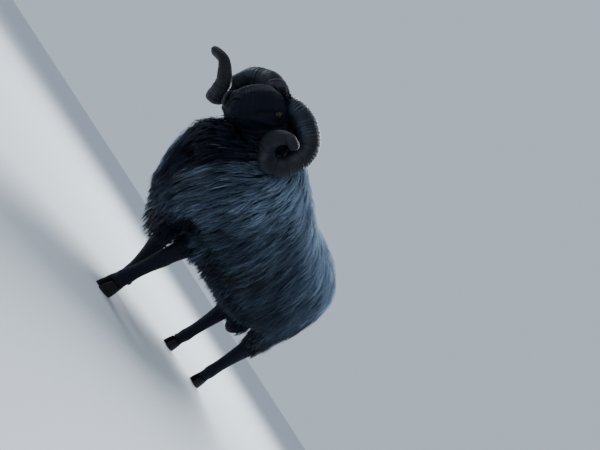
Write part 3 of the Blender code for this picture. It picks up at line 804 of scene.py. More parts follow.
def strand_mesh(line, side, up, width, thickness, keep_root=0.7):
    """Three-sided tapering strands. Ring k has its corners at half the width to each side and at the
    thickness above; the width grows from keep_root to 1 and falls to a point at the tip."""
    count, steps = line.shape[0], line.shape[1] - 1
    s = np.linspace(0, 1, steps + 1)[None, :-1, None]
    taper = (keep_root + (1 - keep_root) * ramp(s, 0, 0.35)) * (1 - s**2.2)
    half = width[:, None, None] / 2 * taper
    high = thickness[:, None, None] * taper
    body = np.stack([line[:, :-1] - side[:, :-1] * half, line[:, :-1] + up[:, :-1] * high,
                     line[:, :-1] + side[:, :-1] * half], axis=2)
    points = np.concatenate([body.reshape(count, -1, 3), line[:, -1:]], axis=1)
    each = steps * 3 + 1
    ring, k = np.meshgrid(np.arange(steps - 1), np.arange(3), indexing="ij")
    a, b = ring * 3 + k, ring * 3 + (k + 1) % 3
    quads = np.stack([a, a + 3, b + 3, b], axis=-1).reshape(-1, 4)
    top = (steps - 1) * 3
    triangles = np.array([(0, 1, 2), (top, top + 3, top + 1), (top + 1, top + 3, top + 2),
                          (top + 2, top + 3, top)])
    start = (np.arange(count) * each)[:, None, None]
    return points.reshape(-1, 3), (quads + start).reshape(-1, 4), (triangles + start).reshape(-1, 3)


def coat_piece(name, strands, finish, shade, place):
    """One joined mesh of strands with its shade (tone, along, black) and brown, and the map OFBake,
    in which each strand is a small patch at its root's place."""
    line, side, up, width, thickness = strands
    points, quads, triangles = strand_mesh(line, side, up, width, thickness)
    made = put_mesh(name, points, [quads, triangles], finish)
    count, steps = line.shape[0], line.shape[1] - 1
    s = np.append(np.repeat(np.arange(steps) / steps, 3), 1.0)
    tone, black, brown = shade
    each = len(s)
    rows = np.stack([np.repeat(tone, each), np.tile(s, count), np.repeat(black, each)], axis=1)
    attribute = made.data.attributes.new("shade", "FLOAT_VECTOR", "POINT")
    attribute.data.foreach_set("vector", rows.astype(np.float32).ravel())
    attribute = made.data.attributes.new("brown", "FLOAT", "POINT")
    attribute.data.foreach_set("value", np.repeat(brown, each).astype(np.float32))
    across = np.append(np.tile([-1.0, 0.0, 1.0], steps), 0.0)
    patch = np.stack([np.tile(across, count) * 0.0015, np.tile(s - 0.5, count) * 0.003], axis=1)
    uv = np.clip(np.repeat(place, each, axis=0) + patch, 0.001, 0.999)
    corners = np.concatenate([quads.ravel(), triangles.ravel()])
    layer = made.data.uv_layers.new(name="OFBake")
    layer.uv.foreach_set("vector", uv[corners].astype(np.float32).ravel())
    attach(made, BODY)
    return made


def body_unwrap(points):
    """The skin rolled out from a line through the body: the angle round it, and the way along it."""
    x, y, z = points.T
    centre = np.interp(y, [-0.62, -0.45, -0.2, 0.4], [0.50, 0.50, 0.49, 0.50])
    return np.stack([np.arctan2(x, centre - z) / TURN + 0.5, (y + 0.72) / 1.24], axis=1)


def face_unwrap(points):
    """Texture places on the face: round it, and down it."""
    down, out, across = face_place(points)
    return np.stack([np.arctan2(across, out + 0.045) / TURN + 0.5, (down + 0.06) / 0.33], axis=1)


def leg_unwrap(points):
    """Four upright strips side by side, one for each leg: the angle round it, and the height."""
    feet = np.array(list(FEET.values()))
    offset = points[:, None, :2] - feet
    leg = np.linalg.norm(offset, axis=2).argmin(axis=1)
    own = offset[np.arange(len(points)), leg]
    angle = np.arctan2(own[:, 0], own[:, 1]) / TURN + 0.5
    return np.stack([(leg + 0.04 + 0.92 * angle) / 4, points[:, 2] / 0.5], axis=1)


def clear_of_horns(roots):
    """True where a root isn't under the foot of a horn."""
    straight = swung(roots, -HORN_TURN, HORN_STAND, HORN_STAND)
    foot = np.array([0.030, HORN_AXIS[0] + 0.024, HORN_AXIS[1] + 0.074])
    gap = np.linalg.norm((straight - foot) * (0, 1, 1), axis=1)
    return ~((gap < 0.030) & (np.abs(straight[:, 0]) > 0.022))


def wool(skin, near, locks, strands):
    """The long fleece and bib, in pieces by side and by place along the body."""
    def density(points):
        x, y, z = points.T
        straight = straightened(points)
        out = face_place(points)[1]
        behind = ramp(straight[:, 1], -0.572, -0.548)
        throat = ramp(z, 0.530, 0.500) * (y < -0.54)
        jaw = ramp(out, -0.078, -0.098) * (z < 0.66) * (z > 0.45)
        keel = (y < -0.365) * (y > -0.60) * (z > 0.19) * (np.abs(x) < 0.062)
        low = np.maximum(ramp(z, 0.262, 0.268), keel)
        elbow = ramp(arch_over_elbow(points) - z, -0.014, -0.004) * ramp(np.abs(x), 0.055, 0.065)
        return np.clip(behind + throat + jaw, 0, 1) * low * (1 - elbow)

    roots, normals = scatter(skin, locks, density)
    keep = clear_of_horns(roots)
    roots, normals = roots[keep], normals[keep]
    count = len(roots)
    x, y, z = roots.T
    under = ramp(normals[:, 2], -0.25, -0.75)
    nape = ramp(z, 0.60, 0.66) * ramp(y, -0.40, -0.50)
    tail = ramp(y, 0.405, 0.425)
    jaw = ramp(z, 0.48, 0.53) * ramp(y, -0.53, -0.57)
    length = RANDOM.uniform(0.075, 0.120, count) * (1 - 0.40 * nape) * (1 - 0.40 * tail) * (1 - 0.6 * jaw)
    apron = ramp(y, -0.39, -0.44) * ramp(z, 0.36, 0.25)
    low_flank = ramp(z, 0.36, 0.28) * (1 - apron)
    front = ramp(y, -0.455, -0.490) * ramp(z, 0.36, 0.30)
    length = length * (1 - 0.60 * np.maximum(under, 0.62 * low_flank) * (1 - apron)) \
        * (1 - 0.50 * apron) * (1 - 0.30 * front)
    low_thigh = ramp(y, 0.16, 0.24) * ramp(z, 0.40, 0.31)
    length = length * (1 - 0.40 * low_thigh)
    room = np.where(np.abs(x) > 0.05, z - arch_over_elbow(roots) + 0.016, 1.0)
    length = np.clip(np.minimum(length, room / 0.92), 0.018, None)
    rise = RANDOM.uniform(0.70, 1.0, count) * FLEECE_DEPTH
    rise = rise * (1 - 0.5 * tail) * (1 - 0.45 * jaw) * (1 - 0.35 * ramp(y, -0.49, -0.56)) + 0.004 * under
    rise = rise * (1 - 0.35 * front) * (1 - 0.62 * low_thigh)
    rump = ramp(y, 0.34, 0.40) * ramp(z, 0.54, 0.44) * ramp(z, 0.31, 0.39)
    hang = np.clip(apron * 0.5 * (1 - front) + 0.3 * under * (1 - front) + 0.9 * rump, 0, 1)
    own = RANDOM.normal(0, 0.085, (count, 3))
    line, ups = lock_lines(near, roots - normals * 0.003, length, rise, hang, own)
    line, side, up = strands_of(line, ups, strands, 0.0046, 0.62, 0.0020)
    total = len(line)
    width = RANDOM.uniform(0.0018, 0.0034, total)
    thickness = width * 0.34
    first = line[:, 0]
    fade = RANDOM.normal(0, 0.16, total)
    black = ramp(black_share(first) + fade * 1.2, 0.35, 0.65)
    # the strands' tone holds the fleece's painted light and painted shade
    tone = np.clip(fleece_tone_and_painted_light(first) + RANDOM.normal(0, 0.09, total)
                   + np.repeat(RANDOM.normal(0, 0.09, count), strands), 0, 1)
    tone = tone + black * (np.clip(0.78 + RANDOM.normal(0, 0.14, total), 0, 1) - tone)
    brown = np.clip(brown_share(first) + RANDOM.normal(0, 0.15, total), 0, 1)
    bands = (("neck", -9.0, -0.49), ("shoulder", -0.49, -0.33), ("ribs", -0.33, -0.12),
             ("loin", -0.12, 0.12), ("rump", 0.12, 9.0))
    root_y = np.repeat(roots[:, 1], strands)
    left = np.repeat(roots[:, 0], strands) > 0
    for word, side_rows in (("left", left), ("right", ~left)):
        for band, low, high in bands:
            rows = side_rows & (root_y >= low) & (root_y < high)
            coat_piece(f"fleece_{band}_{word}",
                       (line[rows], side[rows], up[rows], width[rows], thickness[rows]), WOOL,
                       (tone[rows], black[rows], brown[rows]), body_unwrap(first[rows]))


def short_tufts(name, skin, count, density, way, length, width, lift, unwrap):
    """Small tufts that lie along the skin: root + way * s + normal * lift * s (2 - s)."""
    roots, normals = scatter(skin, count, density)
    direction = way(roots) + RANDOM.normal(0, 0.14, roots.shape)
    direction = unit(direction - normals * dots(direction, normals))
    size = (length(roots) * RANDOM.uniform(0.7, 1.25, count))[:, None, None]
    s = np.array([0.0, 0.5, 1.0])[None, :, None]
    line = (roots - normals * 0.0006)[:, None] + direction[:, None] * size * s \
        + normals[:, None] * size * lift * s * (2 - s)
    side = np.repeat(unit(np.cross(direction, normals))[:, None], 3, axis=1)
    up = np.repeat(normals[:, None], 3, axis=1)
    broad = width(roots) * RANDOM.uniform(0.7, 1.3, count)
    black = black_share(roots)
    tone = np.clip(0.45 + RANDOM.normal(0, 0.15, count), 0, 1)
    coat_piece(name, (line, side, up, broad, broad * 0.35), WOOL, (tone, black, 0.15 * np.ones(count)),
               unwrap(roots))


def face_coat(skin, count):
    """Hair that runs up the nose to the poll and back over the cheeks, finest at the muzzle."""
    centres = np.array([eye_axes(side)[0] for side in (1, -1)])

    def density(points):
        down = face_place(points)[0]
        head = (points[:, 2] > 0.50) & (points[:, 1] < -0.50) & (down < 0.232)
        straight = straightened(points)
        front = ramp(straight[:, 1], -0.535, -0.560)
        eyes = np.linalg.norm(points[:, None] - centres, axis=2).min(axis=1) > EYE_RADIUS + 0.004
        return head * front * eyes

    def way(points):
        _, out, across = face_place(points)
        back = ramp(out, -0.01, -0.05)
        straight = -FACE_DOWN * (1 - 0.45 * back)[:, None] - FACE_OUT * (0.8 * back)[:, None] \
            + np.stack([0.4 * np.tanh(across / 0.02), 0 * across, 0 * across], axis=1)
        return turned(FACE_AXIS + straight) - FACE_STAND

    def length(points):
        down, out, _ = face_place(points)
        return 0.0052 + 0.010 * ramp(down, 0.04, -0.01) + 0.012 * ramp(out, -0.060, -0.10)

    def width(points):
        return 0.0008 + 0.0007 * ramp(face_place(points)[0], 0.10, 0.0)

    short_tufts("face_coat", skin, count, density, way, length, width, 0.14, face_unwrap)


def poll_tuft(skin, count):
    """Longer, upstanding hair over the poll, spreading onto the feet of the horns."""
    poll = turned(POLL_PLACE)

    def density(points):
        offset = (points - poll) / (0.052, 0.048, 0.042)
        return ramp(np.linalg.norm(offset, axis=1), 1.2, 0.95) * (points[:, 2] > 0.700)

    def way(points):
        spread = (points - poll) * (1.0, 0.8, 0.2)
        return spread + np.array([0.0, -0.010, 0.0]) + 0.012 * swirl(points, 60.0)

    def length(points):
        return np.full(len(points), 0.019)

    def width(points):
        return np.full(len(points), 0.0019)

    short_tufts("poll_tuft", skin, count, density, way, length, width, 0.40, face_unwrap)


def leg_coat(skin, count):
    """Short hair combed down the legs, a little longer at the elbow, thigh and coronet."""
    def density(points):
        x, y, z = points.T
        under_arch = ramp(arch_over_elbow(points) - z, -0.012, 0.0) * (np.abs(x) > 0.05)
        return np.maximum(ramp(z, 0.30, 0.28) * (y > -0.44), under_arch)

    def way(points):
        return np.broadcast_to(np.array([0.0, 0.10, -1.0]), points.shape)

    def length(points):
        z = points[:, 2]
        return 0.0085 + 0.012 * ramp(z, 0.22, 0.30) + 0.004 * ramp(z, 0.062, 0.048)

    def width(points):
        return 0.0014 + 0.0012 * ramp(points[:, 2], 0.20, 0.28)

    short_tufts("leg_coat", skin, count, density, way, length, width, 0.10, leg_unwrap)


# ---------------------------------------------------------------- horns

HORN_STATIONS = (  # angle and reach about the cross axis, distance out, half thickness
    (72, 0.074, 0.026, 0.0350), (72, 0.083, 0.062, 0.0365), (68, 0.082, 0.110, 0.0360),
    (47, 0.070, 0.159, 0.0340), (-2, 0.060, 0.174, 0.0310), (-42, 0.077, 0.164, 0.0280),
    (-66, 0.088, 0.147, 0.0270), (-90, 0.078, 0.132, 0.0250), (-119, 0.064, 0.130, 0.0230),
    (-145, 0.066, 0.148, 0.0200), (-158, 0.072, 0.172, 0.0160), (-157, 0.078, 0.195, 0.0140),
    (-153, 0.081, 0.207, 0.0085),
)
HORN_DRAWN_IN = {1: 0.003, -1: 0.015}  # how far each coil lies nearer the head than its stations say
HORN_YEARS = (0.085, 0.19, 0.30, 0.405, 0.50, 0.585, 0.665, 0.735)
HORN_SIDES = 48
HORN_STEPS = 26


def carried_frames(path, first):
    """Side and up carried along a path with no twist of their own."""
    tangent = unit(np.gradient(path, axis=0))
    side = np.zeros_like(path)
    held = np.asarray(first, float)
    for k, ahead in enumerate(tangent):
        held = held - ahead * (held @ ahead)
        held = held / np.linalg.norm(held)
        side[k] = held
    return tangent, side, np.cross(tangent, side)


def horn(side):
    """A coiled horn. Round the path, the radius is the half thickness times a rounded wedge, raised
    by growth ridges: rounded swellings about 8 mm apart, uneven, slanting, and fading to the tip, and
    cut by a deeper groove where each year's growth ended."""
    angle, reach, out, half = eased(HORN_STATIONS, HORN_STEPS).T
    share = np.linspace(0, 1, len(out))
    held = 1 - 0.85 * bell(share - 0.47, 0.055)
    out = out - HORN_DRAWN_IN[side] * held * ramp(share, 0.04, 0.20) * ramp(share, 0.97, 0.80)
    a = np.radians(angle)
    path = np.stack([out, HORN_AXIS[0] + reach * np.cos(a), HORN_AXIS[1] + reach * np.sin(a)], axis=1)
    tangent = unit(np.gradient(path, axis=0))
    _, across, up = carried_frames(path, np.cross(tangent[0], (0, 1, 0)))
    run = np.concatenate([[0], np.cumsum(np.linalg.norm(np.diff(path, axis=0), axis=1))])
    s = run / run[-1]
    round_ = np.arange(HORN_SIDES) * TURN / HORN_SIDES
    axis = np.array([0.0, *HORN_AXIS])
    outward = unit((path - axis) * (0.25, 1, 1))
    facing = np.arctan2(dots(outward, up), dots(outward, across))[:, 0]
    sideways = np.arctan2(up[:, 0], across[:, 0]) - facing
    spin = (round_[None, :] - np.unwrap(facing)[:, None]) * np.sign(np.mean(np.sin(sideways)))
    wedge = 0.985 + 0.075 * np.cos(3 * spin - 0.9) + 0.018 * np.cos(6 * spin - 1.8)
    pace = 0.0082 * (1 - 0.45 * s)
    beat = np.concatenate([[0], np.cumsum(np.diff(run) / pace[1:])])
    beat = (beat + 0.38 * np.sin(17 * s + side) + 0.26 * np.sin(43 * s)
            + 0.20 * np.sin(79 * s + 2.0 * side))
    beat = beat[:, None] + 0.22 * np.cos(spin - 0.6) + 0.07 * np.sin(3 * spin + 40 * s[:, None])
    swell = (0.5 + 0.5 * np.cos(TURN * beat)) ** 1.1
    fine = 0.5 + 0.5 * np.cos(TURN * beat * 4 + 1.1)
    fading = 1 - 0.72 * ramp(s, 0.40, 0.95)
    strength = (0.30 + 0.70 * ramp(np.cos(spin - 0.5), -0.7, 0.7)) * fading[:, None]
    uneven = 0.72 + 0.24 * np.sin(29 * s + 1.0) + 0.20 * np.sin(83 * s + side)
    strength = strength * (uneven[:, None] + 0.22 * np.sin(51 * s[:, None] + 2 * spin))
    slanted = s[:, None] + 0.004 * np.cos(spin - 0.6)
    years = sum(np.exp(-((slanted - year) / 0.0030) ** 2) for year in HORN_YEARS)
    ridges = 0.0036 * (swell - 0.50) * strength + 0.00035 * fine - 0.0026 * years
    closing = np.sqrt(np.clip(1 - ramp(s, 0.975, 1.0) ** 2, 0.0004, 1))
    radius = (half[:, None] * wedge + ridges) * closing[:, None]
    rings = (path[:, None] + radius[..., None] * (np.cos(round_)[None, :, None] * across[:, None]
                                                  + np.sin(round_)[None, :, None] * up[:, None]))
    points, quads, triangles = tube(swung(rings * (side, 1, 1), HORN_TURN, HORN_STAND, HORN_STAND))
    word = "left" if side > 0 else "right"
    made = put_mesh(f"ridged_horn_{word}", points, [quads, triangles], HORN)
    # the third number lightens the edges of the section in the finish, partly wear and partly a painted
    # highlight
    rows = np.stack([np.clip(swell * strength - years, 0, 1), np.broadcast_to(s[:, None], swell.shape),
                     np.clip(0.5 + 6 * (wedge - 0.985), 0, 1)], axis=-1).reshape(-1, 3)
    rows = np.vstack([rows, rows[0], rows[-1]])
    attribute = made.data.attributes.new("growth", "FLOAT_VECTOR", "POINT")
    attribute.data.foreach_set("vector", rows.astype(np.float32).ravel())
    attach(made, BODY)
    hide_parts(f"horn_{word}")
    return made


# ---------------------------------------------------------------- eyes

def eyeball(side):
    """A ball with a cornea that stands out: radius + 0.0010 exp(-(a / 0.5)^2), a from the look axis.
    The map Iris gives each point's place across the eye, with the pupil kept level."""
    centre, axes = eye_axes(side)
    level = unit(np.cross(axes[2], [0.0, 0.0, 1.0]))
    rise = np.cross(level, axes[2])
    a = np.linspace(0.0, math.pi, 40)[1:-1, None]
    b = np.arange(56) * TURN / 56
    radius = EYE_RADIUS + 0.0010 * np.exp(-(a / 0.5) ** 2)
    flat = np.stack([np.sin(a) * np.cos(b), np.sin(a) * np.sin(b)], axis=-1)
    ball = centre + radius[..., None] * (flat[..., :1] * level + flat[..., 1:] * rise
                                         + (np.cos(a) + 0 * b)[..., None] * axes[2])
    points, quads, triangles = tube(ball)
    word = "left" if side > 0 else "right"
    made = put_mesh(f"eyeball_{word}", points, [quads, triangles], EYE)
    edge = np.maximum(np.abs(np.sin(a)), 0.05)[..., None]
    spread = np.where((a < math.pi / 2)[..., None], flat, flat / edge)
    place = np.vstack([spread.reshape(-1, 2), [0, 0], [0, 1]]) * 0.5 + 0.5
    corners = np.concatenate([quads.ravel(), triangles.ravel()])
    layer = made.data.uv_layers.new(name="Iris")
    layer.uv.foreach_set("vector", place[corners].astype(np.float32).ravel())
    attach(made, BODY)
    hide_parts(f"eye_{word}")
    return made


# ---------------------------------------------------------------- hooves

def claw(node, foot_x):
    """One claw: rings from the sole up, each longer than wide and drawn to a toe in front, with a flat
    inner wall, a worn bevel at the sole and faint growth steps up the wall."""
    low, high = (np.array(corner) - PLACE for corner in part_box(node))
    centre, size = (low + high) / 2, high - low
    rows = eased([(0.000, 0.93, 0.88, 0.000), (0.004, 0.975, 0.96, 0.000), (0.016, 0.93, 0.98, 0.02),
                  (0.028, 0.84, 0.95, 0.05), (0.0395, 0.74, 0.90, 0.085)], 6)
    z, long, wide, back = rows.T
    turn = np.arange(44) * TURN / 44
    ahead = np.cos(turn)
    toe = np.where(ahead > 0, ahead, -np.abs(ahead) ** 0.8)
    taper = 1 - 0.50 * np.clip(ahead, 0, 1) ** 2.2
    inner = -np.sign(centre[0] - foot_x)
    across = np.sin(turn)
    across = np.where(across * inner > 0, np.sign(across) * np.abs(across) ** 0.55, across)
    steps = 1 + 0.012 * np.sin(TURN * z / 0.0052)
    x = centre[0] + across * taper * (wide * steps)[:, None] * size[0] / 2
    y = centre[1] + (back[:, None] - toe * (long * steps)[:, None]) * size[1] / 2
    rings = np.stack([x, y, np.broadcast_to(z[:, None], x.shape)], axis=-1)
    made = put_mesh(f"hoof_{node}", *split(tube(rings)), HOOF)
    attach(made, BODY)
    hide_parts(node)


def split(part):
    return part[0], [part[1], part[2]]


def dewclaws():
    """Two small horny knobs behind each fetlock, pointing down and back."""
    parts = []
    for x, y in FEET.values():
        for apart in (-0.0115, 0.0115):
            parts.append(ellipsoid((x + apart, y + 0.0215, 0.0690), (0.0050, 0.0048, 0.0075), 12, 16))
    made = put_mesh("dewclaws", *split(together(parts)), HOOF)
    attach(made, BODY)


# ---------------------------------------------------------------- finishes

def new_finish(name):
    """A material with its nodes, its links and its shader."""
    made = bpy.data.materials.new(name)
    made.use_nodes = True
    nodes, links = made.node_tree.nodes, made.node_tree.links
    return made, nodes, links, nodes["Principled BSDF"]


def colour_node(nodes, links, share, stops):
    """A colour ramp over a value: stops of (place, colour)."""
    made = nodes.new("ShaderNodeValToRGB")
    while len(made.color_ramp.elements) < len(stops):
        made.color_ramp.elements.new(0.5)
    for element, (place, colour) in zip(made.color_ramp.elements, stops):
        element.position = place
        element.color = (*colour, 1)
    links.new(share, made.inputs["Fac"])
    return made.outputs["Color"]


def mixed(nodes, links, share, first, second, kind="MIX"):
    """A blend of two colours, each a socket or a plain colour, by a share."""
    made = nodes.new("ShaderNodeMix")
    made.data_type = "RGBA"
    made.blend_type = kind
    for name, value in (("Factor", share), ("A", first), ("B", second)):
        socket = made.inputs[name]
        if isinstance(value, bpy.types.NodeSocket):
            links.new(value, socket)
        elif isinstance(value, tuple):
            socket.default_value = (*value, 1)
        else:
            socket.default_value = value
    return made.outputs["Result"]


def number(nodes, links, operation, *values):
    """One step of arithmetic on sockets and plain numbers."""
    made = nodes.new("ShaderNodeMath")
    made.operation = operation
    for socket, value in zip(made.inputs, values):
        if isinstance(value, bpy.types.NodeSocket):
            links.new(value, socket)
        else:
            socket.default_value = value
    return made.outputs["Value"]


def noise(nodes, links, scale, detail=3.0, stretch=(1, 1, 1)):
    """Noise on the object's own coordinates, stretched by the inverse of `stretch`."""
    where = nodes.new("ShaderNodeTexCoord")
    mapping = nodes.new("ShaderNodeMapping")
    mapping.inputs["Scale"].default_value = stretch
    made = nodes.new("ShaderNodeTexNoise")
    made.inputs["Scale"].default_value = scale
    made.inputs["Detail"].default_value = detail
    links.new(where.outputs["Object"], mapping.inputs["Vector"])
    links.new(mapping.outputs["Vector"], made.inputs["Vector"])
    return made.outputs["Fac"]


def attribute_parts(nodes, links, name):
    """The three numbers that a mesh carries at each point under this name."""
    made = nodes.new("ShaderNodeAttribute")
    made.attribute_name = name
    parts = nodes.new("ShaderNodeSeparateXYZ")
    links.new(made.outputs["Vector"], parts.inputs["Vector"])
    return parts.outputs["X"], parts.outputs["Y"], parts.outputs["Z"]


def bumped(nodes, links, shader, height, strength, distance):
    """Gives a shader small relief from a height."""
    made = nodes.new("ShaderNodeBump")
    made.inputs["Strength"].default_value = strength
    made.inputs["Distance"].default_value = distance
    links.new(height, made.inputs["Height"])
    links.new(made.outputs["Normal"], shader.inputs["Normal"])


# the blue tint of GREYS is painted blue skylight on grey wool
GREYS = [(0.0, (0.007, 0.010, 0.016)), (0.30, (0.028, 0.041, 0.062)), (0.62, (0.098, 0.138, 0.196)),
         (1.0, (0.36, 0.48, 0.64))]
# the blue tint of BLACKS is a painted blue sheen on black hair
BLACKS = [(0.0, (0.0016, 0.0020, 0.0040)), (0.6, (0.0044, 0.0060, 0.0136)),
          (1.0, (0.0150, 0.0190, 0.0380))]
BROWNS = [(0.0, (0.014, 0.011, 0.010)), (1.0, (0.110, 0.085, 0.070))]


def coat_colours():
    """A node group: the coat's colour from tone, black and brown."""
    group = bpy.data.node_groups.new("coat colours", "ShaderNodeTree")
    for name in ("Tone", "Black", "Brown"):
        group.interface.new_socket(name=name, in_out="INPUT", socket_type="NodeSocketFloat")
    group.interface.new_socket(name="Color", in_out="OUTPUT", socket_type="NodeSocketColor")
    nodes, links = group.nodes, group.links
    inward, outward = nodes.new("NodeGroupInput"), nodes.new("NodeGroupOutput")
    grey = colour_node(nodes, links, inward.outputs["Tone"], GREYS)
    brown = colour_node(nodes, links, inward.outputs["Tone"], BROWNS)
    black = colour_node(nodes, links, inward.outputs["Tone"], BLACKS)
    warm = mixed(nodes, links, inward.outputs["Brown"], grey, brown)
    links.new(mixed(nodes, links, inward.outputs["Black"], warm, black), outward.inputs["Color"])
    return group


def wool_finish():
    """Matt wool, paler toward each strand's end."""
    made, nodes, links, shader = new_finish("wool")
    tone, along, black = attribute_parts(nodes, links, "shade")
    brown = nodes.new("ShaderNodeAttribute")
    brown.attribute_name = "brown"
    group = nodes.new("ShaderNodeGroup")
    group.node_tree = COAT_COLOURS
    rising = number(nodes, links, "MULTIPLY_ADD", along, 0.50, 0.62)
    lit = number(nodes, links, "MULTIPLY", tone, rising)
    links.new(lit, group.inputs["Tone"])
    links.new(black, group.inputs["Black"])
    links.new(number(nodes, links, "MULTIPLY", brown.outputs["Fac"], 0.75), group.inputs["Brown"])
    links.new(group.outputs["Color"], shader.inputs["Base Color"])
    shader.inputs["Roughness"].default_value = 0.60
    shader.inputs["Specular IOR Level"].default_value = 0.13
    return made


def skin_finish():
    """Short coat and underwool from the same markings, with fine hair grain, and bare, slightly moist
    skin on lid rims, nostrils and lips."""
    made, nodes, links, shader = new_finish("skin")
    tone, bare, black = attribute_parts(nodes, links, "shade")
    group = nodes.new("ShaderNodeGroup")
    group.node_tree = COAT_COLOURS
    grain = noise(nodes, links, 300.0, 4.0, (1.0, 0.8, 0.22))
    spread = number(nodes, links, "MULTIPLY_ADD", grain, 0.9, -0.15)
    links.new(number(nodes, links, "MULTIPLY", tone, number(nodes, links, "ADD", spread, 0.55)),
              group.inputs["Tone"])
    links.new(black, group.inputs["Black"])
    coat = group.outputs["Color"]
    colour = mixed(nodes, links, bare, coat, (0.0075, 0.0070, 0.0085))
    links.new(colour, shader.inputs["Base Color"])
    links.new(number(nodes, links, "MULTIPLY_ADD", bare, -0.34, 0.66), shader.inputs["Roughness"])
    bumped(nodes, links, shader, grain, 0.7, 0.0012)
    shader.inputs["Specular IOR Level"].default_value = 0.11
    return made


def horn_finish():
    """Dry horn: dark in the grooves and paler on the ridges and on the edges of its section, where wear
    and a painted highlight lighten it, streaked lengthwise; painted shade darkens the tips, and the blue
    tint of its colours is painted skylight.
    """
    made, nodes, links, shader = new_finish("horn")
    ridge, along, outer = attribute_parts(nodes, links, "growth")
    cloud = noise(nodes, links, 26.0, 5.0)
    fine = noise(nodes, links, 240.0, 3.0)
    broad = noise(nodes, links, 11.0, 3.0)
    level = number(nodes, links, "MULTIPLY", cloud, 0.72)
    level = number(nodes, links, "MULTIPLY_ADD", ridge, 0.36, level)
    level = number(nodes, links, "MULTIPLY_ADD", fine, 0.20, level)
    level = number(nodes, links, "SUBTRACT", level, 0.12)
    # paler on the edges of the section: partly wear, partly a painted highlight
    level = number(nodes, links, "MULTIPLY_ADD", outer, 0.20, level)
    past_root = number(nodes, links, "SUBTRACT", along, 0.35)
    level = number(nodes, links, "MULTIPLY_ADD", past_root, -0.22, level)
    # the blue tint of these colours is painted blue skylight on grey-brown horn
    base = colour_node(nodes, links, level, [
        (0.20, (0.0024, 0.0031, 0.0048)), (0.46, (0.0066, 0.0088, 0.0138)),
        (0.72, (0.0210, 0.0285, 0.0430)), (1.00, (0.0900, 0.1120, 0.1500))])
    rust = colour_node(nodes, links, level, [
        (0.20, (0.0050, 0.0036, 0.0034)), (0.60, (0.0210, 0.0150, 0.0130)),
        (1.00, (0.0800, 0.0600, 0.0520))])
    worn = number(nodes, links, "MULTIPLY", number(nodes, links, "SUBTRACT", broad, 0.48), 5.0)
    worn = number(nodes, links, "MAXIMUM", number(nodes, links, "MINIMUM", worn, 0.45), 0.0)
    # painted shade: toward its end the horn darkens to a dark blue-grey, standing in for the shade the
    # coil casts on the tip
    tip = number(nodes, links, "MULTIPLY", number(nodes, links, "SUBTRACT", along, 0.82), 5.0)
    tip = number(nodes, links, "MAXIMUM", number(nodes, links, "MINIMUM", tip, 0.75), 0.0)
    plain = mixed(nodes, links, worn, base, rust)
    links.new(mixed(nodes, links, tip, plain, (0.0080, 0.0095, 0.0145)), shader.inputs["Base Color"])
    shader.inputs["Specular IOR Level"].default_value = 0.20
    links.new(number(nodes, links, "MULTIPLY_ADD", cloud, 0.25, 0.46), shader.inputs["Roughness"])
    bumped(nodes, links, shader, number(nodes, links, "ADD", fine, cloud), 0.35, 0.0012)
    return made


def eye_finish():
    """A dark amber iris round a level slot of a pupil, darker at its rim, under a wet clear coat."""
    made, nodes, links, shader = new_finish("eye")
    where = nodes.new("ShaderNodeUVMap")
    where.uv_map = "Iris"
    parts = nodes.new("ShaderNodeSeparateXYZ")
    links.new(where.outputs["UV"], parts.inputs["Vector"])
    x = number(nodes, links, "SUBTRACT", parts.outputs["X"], 0.5)
    y = number(nodes, links, "SUBTRACT", parts.outputs["Y"], 0.5)
    squares = [number(nodes, links, "POWER", place, 2.0) for place in (x, y)]
    from_middle = number(nodes, links, "SQRT", number(nodes, links, "ADD", *squares))
    streaks = nodes.new("ShaderNodeTexNoise")
    streaks.inputs["Scale"].default_value = 22.0
    streaks.inputs["Detail"].default_value = 4.0
    links.new(where.outputs["UV"], streaks.inputs["Vector"])
    level = number(nodes, links, "MULTIPLY_ADD", streaks.outputs["Fac"], 0.10, from_middle)
    iris = colour_node(nodes, links, level, [
        (0.10, (0.009, 0.005, 0.003)), (0.27, (0.020, 0.011, 0.005)), (0.36, (0.008, 0.005, 0.003)),
        (0.40, (0.002, 0.002, 0.002))])
    far = []
    for place, half in ((x, 0.185), (y, 0.062)):
        share = number(nodes, links, "ABSOLUTE", number(nodes, links, "DIVIDE", place, half))
        far.append(number(nodes, links, "POWER", share, 4.0))
    pupil = number(nodes, links, "LESS_THAN", number(nodes, links, "ADD", *far), 1.0)
    links.new(mixed(nodes, links, pupil, iris, (0.002, 0.002, 0.003)), shader.inputs["Base Color"])
    shader.inputs["Roughness"].default_value = 0.12
    shader.inputs["Specular IOR Level"].default_value = 0.22
    shader.inputs["Coat Weight"].default_value = 0.20
    shader.inputs["Coat Roughness"].default_value = 0.02
    return made


